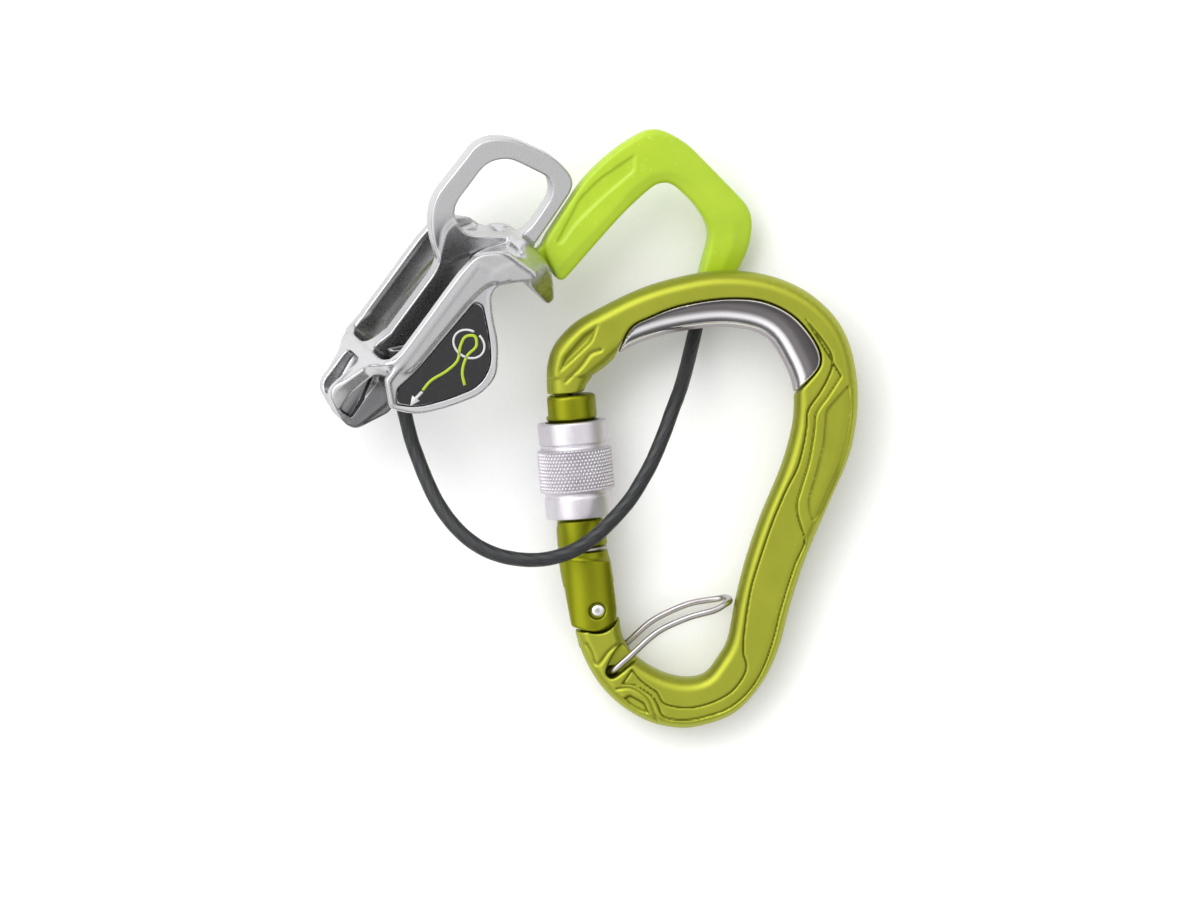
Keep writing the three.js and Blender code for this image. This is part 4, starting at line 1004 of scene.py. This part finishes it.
# the deck over the nose widens towards the slots and holds an open pocket; plans are in x-y
NOSE_DECK = [
    (-12.4, 2.8, 0.5), (-15.6, 4.2, 1.5), (-20, 4.5, 2), (-26.8, 5.5, 3), (-29.6, -0.8, 1),
    (-27.6, 0.4, 1), (-12.4, 0.4, 0.5),
]
DECK_PLAN = [
    (-32, -2.9, 2), (-32, 2.9, 2), (-24, 4.8, 4), (-15.6, 9.2, 3), (-12.6, 11.4, 0.5),
    (-12.6, -11.4, 0.5), (-15.6, -9.2, 3), (-24, -4.8, 4),
]
POCKET_PLAN = [
    (-27.3, -1.7, 1.6), (-27.3, 1.7, 1.6), (-22, 2.7, 4), (-15.4, 4.6, 2.5), (-15.4, -4.6, 2.5),
    (-22, -2.7, 4),
]
POCKET_FLOOR = 1.6
DRAWN_IN = (13.8, 9.4)      # slope of the rear corners: so far across for so far along
FLANGE = [(-13, -1, 1), (-17.6, -3.6, 1), (-30.2, -4.0, 1), (-30.0, -6.6, 1), (-20.6, -9.4, 1), (-13, -8, 1)]
BRIDGE = [
    (SLOT_REAR, -5.0, 2), (24.0, -6.0, 3), (30.6, -11.4, 2), (30.6, -14.4, 2),
    (26.6, -15.0, 3), (24.4, -12.8, 2), (SLOT_REAR, -9.6, 3),
]
FRONT_RIM = [
    (-16.4, 2.4, 1), (-15.4, 4.4, 1.5), (SLOT_FRONT, 2.6, 2), (-6, 0.5, 1), (-6, -4.2, 1), (-14.6, -4.6, 1),
]
SLOT_END = [(SLOT_FRONT, WEB / 2, 3.5), (0, WEB / 2, 0.1), (0, BODY_HALF - WALL, 0.1),
            (SLOT_FRONT, BODY_HALF - WALL, 5)]
FRONT_PLAN = [(-33, -30, 1), (-33, 8.5, 1), (-16.6, 8.5, 2), (-11.0, 16.4, 4), (60, 16.4, 1), (60, -30, 1)]
TANG_OUTLINE = [
    (38, -20.4, 1), (38, -25.6, 1), (30, -24.0, 1), (24.4, -23.0, 2), (23.6, -18.8, 2), (29, -18.4, 1),
]
TANG_SLOT = [(38, -17.6), (38, -26.6), (22, -24.4), (22, -17.6)]
TANG_PIN_AT = (25.6, -20.6)
FERRULE_TOP, FERRULE_END, FERRULE_MOUTH = (-7.6, 0, -5.2), (-12.0, 0, -9.8), (-15.0, 0, -12.94)
BOSS_TOP = (-6.8, 0, -4.4)
ANCHOR_AT = (-9.6, -7.3)
ANCHOR_RADIUS = 1.0
HANDLE_OUTLINE = [
    (33.3, -19.2, 3.5), (52.6, -17.7, 6), (60, -18.8, 4), (67.5, -21.0, 5), (74.2, -24.4, 6),
    (76.0, -33.0, 6), (74.0, -46.0, 8), (72.0, -58.4, 6), (65.0, -63.2, 6), (50.2, -66.2, 3.4),
    (47.4, -59.4, 3.4), (54.0, -56.4, 4), (61.4, -53.4, 5), (64.6, -46.0, 6), (65.9, -34.0, 5),
    (54.0, -31.2, 6), (38.0, -29.8, 5), (28.3, -29.2, 3.5),
]
HANDLE_RIDGE = [(31.0, -25.2), (45.0, -27.2), (61.9, -29.4), (65.8, -31.7), (68.2, -35.0), (68.8, -39.0),
                (68.3, -44.4), (67.2, -51.8), (66.0, -55.6), (63.0, -58.4), (54.0, -61.0)]
HANDLE_FACET = [(66.1, -24.2, 0.8), (62.6, -26.6, 1), (52.6, -24.2, 3), (43.0, -22.6, 3), (37.0, -22.9, 1),
                (36.4, -21.4, 1), (44.2, -20.3, 2), (48.6, -19.5, 2), (56.0, -20.6, 2)]
HANDLE_MOUTH = ((53.2, 0, -60.4), (46, 0, -64.28))


def flat_of(grid, outline, radius=1.0):
    """Distance to an outline drawn in x-z."""
    return outline_distance(rounded(outline, radius), grid.x, grid.z)


def in_handle(grid):
    """The points across and down the handle's own leaning plane."""
    down = grid.z - HANDLE_LINE_Z
    across = grid.y * math.cos(HANDLE_LEAN) - down * math.sin(HANDLE_LEAN)
    return across, grid.y * math.sin(HANDLE_LEAN) + down * math.cos(HANDLE_LEAN) + HANDLE_LINE_Z


def tang_bore(x, down):
    return np.hypot(x - TANG_PIN_AT[0], down - TANG_PIN_AT[1]) - TANG_PIN_RADIUS - GAP


def side_fins(grid, side):
    """The fins on the body's sides, with a raised bead round the edge, outside the label."""
    half = (WALL - 0.6) / 2
    flat = flat_of(grid, FIN_OUTLINE)
    bead = slab(np.abs(flat + 0.75) - 0.35, side - FIN_FACE, 0.14, 0.13)
    return join(slab(flat, side - (FIN_FACE - half), half, 0.5), bead, 0.4)


def slotted_middle(grid, side):
    """The walls and web round the two slots, the rim in front of them and the hook behind."""
    walls = slab(flat_of(grid, WALL_OUTLINE), side - (BODY_HALF - WALL / 2), WALL / 2, 0.45)
    web = slab(flat_of(grid, WEB_OUTLINE), grid.y, WEB / 2, 0.6)
    bridge = slab(flat_of(grid, BRIDGE), grid.y, BODY_HALF - 0.5, 0.6)
    rim = slab(flat_of(grid, FRONT_RIM), grid.y, BODY_HALF - WALL / 2, 0.6)
    rim = cut(rim, outline_distance(rounded(SLOT_END), grid.x, side), 0.6)
    taper = outline_distance(rounded(REAR_TAPER), grid.y, grid.z)
    rear = keep(slab(flat_of(grid, REAR_OUTLINE), grid.y, BODY_HALF - 0.5, 0.4), taper, 1.0)
    field = join(join(walls, bridge, 1.6), join(rim, web, 1.0), 1.0)
    field = keep(field, outline_distance(rounded(FRONT_PLAN), grid.x, side), 0.9)
    return join(field, rear, 1.0)


def nose_parts(grid, side):
    """The nose, hollow in each side with a rib across it, the deck over it and its flat flange."""
    nose = slab(flat_of(grid, NOSE_OUTLINE), grid.y, NOSE_HALF, 0.5)
    nose = cut(nose, meet(flat_of(grid, NOSE_SIDE), 2.3 - side, grid.z - 0.4), 0.4)
    rib = meet(line_distance(np.array(NOSE_RIB), grid.x, grid.z) - 0.55, side - NOSE_HALF + 0.3)
    deck = keep(flat_of(grid, NOSE_DECK), plan_of(grid, rounded(DECK_PLAN)), 0.9)
    return join(nose, rib, 0.5), deck, slab(flat_of(grid, FLANGE), side - 3.6, 0.8, 0.3)


def with_bores(field, grid, side):
    """Adds the boss of the cable's ferrule, and cuts its bore, its pin's and the handle tang's."""
    field = join(field, rod_distance(grid, BOSS_TOP, FERRULE_END, FERRULE_RADIUS + 1.5), 1.0)
    field = cut(field, rod_distance(grid, FERRULE_TOP, FERRULE_MOUTH, FERRULE_RADIUS + GAP), 0.4)
    anchor = np.hypot(grid.x - ANCHOR_AT[0], grid.z - ANCHOR_AT[1]) - ANCHOR_RADIUS - 0.15
    field = cut(field, meet(anchor, side - 9), 0.2)
    across, down = in_handle(grid)
    slot = outline_distance(np.array(TANG_SLOT, float), grid.x, down)
    field = cut(field, meet(slot, np.abs(across) - TANG_THICKNESS / 2 - GAP), 0.3)
    return cut(field, meet(tang_bore(grid.x, down), np.abs(across) - 5), 0.3)


def descender_body():
    grid = Grid((-32.5, -17, -31.5), (55, 17, 14.5), 0.27)
    side = np.abs(grid.y)
    field = join(slotted_middle(grid, side), side_fins(grid, side), 1.0)
    field = join(field, slab(flat_of(grid, EYE_OUTER), grid.y, WEB / 2, 0.6), 1.4)
    for part, blend in zip(nose_parts(grid, side), (0.8, 1.2, 0.5)):
        field = join(field, part, blend)
    field = cut(field, meet(flat_of(grid, LABEL_OUTLINE), FIN_FACE - LABEL_DEPTH - side), 0.3)
    # the drawn-in rear corners
    run, rise = DRAWN_IN
    corner = (run * (26.6 - grid.x) + rise * (17 - side)) / math.hypot(run, rise)
    field = cut(field, meet(corner, 3.2 - side), 1.4)
    field = cut(field, meet(flat_of(grid, EYE_HOLE), side - 5), 0.5)
    field = cut(field, keep(plan_of(grid, rounded(POCKET_PLAN)), POCKET_FLOOR - grid.z, 0.8), 0.6)
    field = with_bores(field, grid, side)
    carved("cast_body", grid, field, DEVICE, "descender", "cast_steel", CAST_STEEL, ["descender_body"])


def thumb_handle():
    grid = Grid((22.5, -4.2, -68), (77.5, 4.2, -16), 0.34)
    flat = flat_of(grid, HANDLE_OUTLINE)
    ridge = line_distance(catmull(HANDLE_RIDGE, 6), grid.x, grid.z)
    facet = flat_of(grid, HANDLE_FACET)
    half = HANDLE_THICKNESS / 2 - 0.16 * np.maximum(ridge - 0.2, 0) - 0.5 * ramp(-facet, -0.3, 0.5)
    field = slab(flat, grid.y, half, 1.1)
    field = join(field, slab(flat_of(grid, TANG_OUTLINE), grid.y, TANG_THICKNESS / 2, 0.3), 0.8)
    field = cut(field, tang_bore(grid.x, grid.z), 0.3)
    field = cut(field, rod_distance(grid, *HANDLE_MOUTH, CABLE_RADIUS + 0.95), 0.5)
    carved("moulded_handle", grid, field, HANDLE, "descender", "lime_plastic", LIME_PLASTIC,
           ["thumb_handle", "handle_core"], rounds=8)


def plate_shape(outline, low, high, bevel=0.08):
    """A thin plate in x-z between two heights along y, with a small bevel round both faces."""
    outline = np.array(outline)
    ahead = np.roll(outline, -1, axis=0) - np.roll(outline, 1, axis=0)
    inward = np.stack([-ahead[:, 1], ahead[:, 0]], axis=1) / np.linalg.norm(ahead, axis=1)[:, None]
    turned = np.sum(outline[:, 0] * np.roll(outline[:, 1], -1) - outline[:, 1] * np.roll(outline[:, 0], -1))
    inward *= np.sign(turned)
    rings = [(bevel, low), (0, low + bevel), (0, high - bevel), (bevel, high)]
    verts = np.vstack([np.c_[(outline + inward * inset)[:, 0], np.full(len(outline), y),
                             (outline + inward * inset)[:, 1]] for inset, y in rings])
    count = len(outline)
    faces = sheet_faces(len(rings), count).tolist()
    faces.append(list(range(count))[::-1])
    faces.append([3 * count + i for i in range(count)])
    return verts, faces


def label_plates():
    outline = np.array(LABEL_OUTLINE)
    outline[:, :2] = LABEL_MIDDLE + (outline[:, :2] - LABEL_MIDDLE) * LABEL_SHRINK
    outline = rounded(outline)
    for name, side in FACES:
        low, high = sorted((side * LABEL_TOP, side * (FIN_FACE - LABEL_DEPTH + GAP / 2)))
        shape = plate_shape(outline, low, high)
        piece(f"label_inlay_{name}", shape, DEVICE, "descender", "label", CHARCOAL,
              [f"label_plate_{name}"], flat_above=30)


# a generic diagram: a rope line with an arrow at its loaded end, through a plain ring
ROPE_LINE = [(-12.1, -9.4), (-9.0, -9.6), (-4.5, -11.6), (-1.0, -12.2), (2.4, -10.4), (5.0, -10.0),
             (6.4, -12.0), (4.6, -14.0), (1.4, -13.6), (-2.6, -15.2), (-5.0, -18.0)]
RING_MIDDLE = (4.0, -12.0)
RING_SIZE = (3.3, 4.6)
ARROW = [
    (-17.0, -9.2), (-14.6, -7.9), (-14.6, -8.8), (-12.4, -9.1), (-12.4, -9.9), (-14.6, -9.6), (-14.6, -10.5),
]
PRINT_HEIGHT = 0.05


def ribbon_shape(line, width, low, high):
    """A flat ribbon of constant width along a line in x-z."""
    line = np.array(line)
    ahead = np.gradient(line, axis=0)
    ahead /= np.linalg.norm(ahead, axis=1)[:, None]
    across = np.stack([-ahead[:, 1], ahead[:, 0]], axis=1) * width / 2
    corners = [(across, low), (-across, low), (-across, high), (across, high)]
    rings = np.stack([np.c_[(line + off)[:, 0], np.full(len(line), y), (line + off)[:, 1]]
                      for off, y in corners], axis=1)
    faces = sheet_faces(len(line), 4).tolist()
    last = 4 * (len(line) - 1)
    faces += [[3, 2, 1, 0], [last, last + 1, last + 2, last + 3]]
    return rings.reshape(-1, 3), faces


def label_diagram():
    rope = spaced(catmull(ROPE_LINE), 90)
    turn = np.linspace(0.2, 2 * math.pi - 0.2, 60)
    ring = RING_MIDDLE + np.stack([np.cos(turn), np.sin(turn)], axis=1) * RING_SIZE
    for name, side in FACES:
        low, high = sorted((side * LABEL_TOP, side * (LABEL_TOP + PRINT_HEIGHT)))
        for mark, shape, slot, material in (
                ("rope", ribbon_shape(rope, 0.75, low, high), "lime_plastic", LIME_PRINT),
                ("ring", ribbon_shape(ring, 0.55, low, high), "label", WHITE_PRINT),
                ("arrow", plate_shape(ARROW[::-1], low, high, 0.01), "label", WHITE_PRINT)):
            piece(f"print_{mark}_{name}", shape, DEVICE, "descender", slot, material)


LIME_PRINT = printed("lime_print", (0.46, 0.62, 0.03))
WHITE_PRINT = printed("white_print", (0.72, 0.72, 0.72))


def turned_pin(start, end, matrix, name, profile, node):
    """A turned piece between two points; the profile is (radius, distance from the start)."""
    start, end = Vector(start), Vector(end)
    turn = (end - start).to_track_quat("Y", "Z").to_matrix().to_4x4()
    piece(name, lathe(lifted(profile, 0.5), 48), matrix @ Matrix.Translation(start) @ turn, "descender",
          "pin_steel", TURNED, [node])


def body_ferrule():
    start, end = Vector((-7.9, 0, -5.5)), Vector((-12.9, 0, -10.73))
    span = (end - start).length
    profile = [(0, 0), (2.5, 0), (2.8, 0.3), (2.85, span - 1.8), (2.6, span - 1.5), (2.6, span - 1.2),
               (2.85, span - 0.9), (2.8, span - 0.3), (2.5, span), (0, span)]
    turned_pin(start, end, DEVICE, "ferrule_of_body", profile, "cable_ferrule_body")


def handle_ferrule():
    start, end = Vector((52.7, 0, -60.67)), Vector((49.6, 0, -62.34))
    span = (end - start).length
    profile = [(0, 0), (2.2, 0), (2.42, 0.3), (2.42, span - 0.4), (2.2, span), (0, span)]
    turned_pin(start, end, HANDLE, "ferrule_of_handle", profile, "cable_ferrule_handle")


def cross_pins():
    """The pins across the body's ferrule and across the handle's tang, with bevelled ends."""
    for (x, z), matrix, radius, half, name, node in (
            (ANCHOR_AT, DEVICE, ANCHOR_RADIUS, 4.3, "anchor_pin_turned", "cable_anchor_pin"),
            (TANG_PIN_AT, HANDLE, TANG_PIN_RADIUS, 4.6, "handle_pin_turned", "handle_pin")):
        profile = [(0, 0), (radius - 0.2, 0), (radius, 0.2), (radius, 2 * half - 0.2),
                   (radius - 0.2, 2 * half), (0, 2 * half)]
        turned_pin((x, -half, z), (x, half, z), matrix, name, profile, node)


descender_body()
thumb_handle()
label_plates()
label_diagram()
body_ferrule()
handle_ferrule()
cross_pins()

# ---------- hidden pieces keep their CAD shape and get a finish ----------
for node_name, material in (("gate_plunger", TURNED), ("gate_spring", WIRE), ("sleeve_thread_bush", TURNED)):
    mesh = frame["nodes"][node_name].data
    mesh.materials.clear()
    mesh.materials.append(material)


# ---------- floor, lights and surroundings ----------
def floor():
    made = Finish("floor_paper", (0.93, 0.93, 0.93), 0.0, 0.9, Specular_IOR_Level=0.1)
    grain = made.noise(1.2, detail=4)
    made.colour(made.mottled(grain, (0.92, 0.92, 0.92), (0.94, 0.94, 0.94)))
    half = 6.0
    corners = [(-half, -half, 0), (half, -half, 0), (half, half, 0), (-half, half, 0)]
    mesh = bpy.data.meshes.new("floor")
    mesh.from_pydata(corners, [], [(0, 1, 2, 3)])
    mesh.materials.append(made.material)
    plane = bpy.data.objects.new("floor", mesh)
    bpy.context.collection.objects.link(plane)


def softbox(name, at, size, power, aim=(0, 0, 0.01), colour=(1, 1, 1)):
    data = bpy.data.lights.new(name, "AREA")
    data.shape = "RECTANGLE"
    data.size, data.size_y = size
    data.energy = power
    data.color = colour
    lamp = bpy.data.objects.new(name, data)
    lamp.location = at
    lamp.rotation_euler = (Vector(aim) - Vector(at)).to_track_quat("-Z", "Y").to_euler()
    bpy.context.collection.objects.link(lamp)


# brightness of the studio from straight below, 0, past the horizon, 0.5, to straight above, 1
STUDIO_STOPS = [
    (0.0, 0.7), (0.5, 0.7), (0.52, 0.14), (0.62, 0.25), (0.74, 1.6), (0.9, 1.65), (0.965, 0.8), (1.0, 0.6),
]
STUDIO_BRIGHT_SIDE = (-0.36, 0.36, 0)       # the upper left is brighter than the lower right


def surroundings():
    """A studio whose light falls off towards the horizon, so that edges keep their shape."""
    world = bpy.data.worlds.new("studio")
    bpy.context.scene.world = world
    world.use_nodes = True
    nodes = Nodes(world.node_tree)
    background = nodes.tree.nodes["Background"]
    direction = nodes.add("ShaderNodeTexCoord").outputs["Generated"]
    fade = nodes.add("ShaderNodeValToRGB")
    fade.color_ramp.interpolation = "EASE"
    elements = fade.color_ramp.elements
    while len(elements) < len(STUDIO_STOPS):
        elements.new(0.5)
    for element, (place, value) in zip(elements, STUDIO_STOPS):
        element.position = place
        element.color = (value, value, value, 1)
    nodes.link(nodes.range(nodes.upward(direction), -1, 1, 0, 1), fade.inputs["Fac"])
    nodes.link(fade.outputs["Color"], background.inputs["Color"])
    strength = nodes.math("ADD", nodes.dot(direction, STUDIO_BRIGHT_SIDE), 1.0)
    nodes.link(strength, background.inputs["Strength"])


floor()
surroundings()
softbox("key", (-0.9, 0.9, 1.5), (1.5, 1.5), 13)

bpy.context.scene.view_settings.view_transform = "Standard"
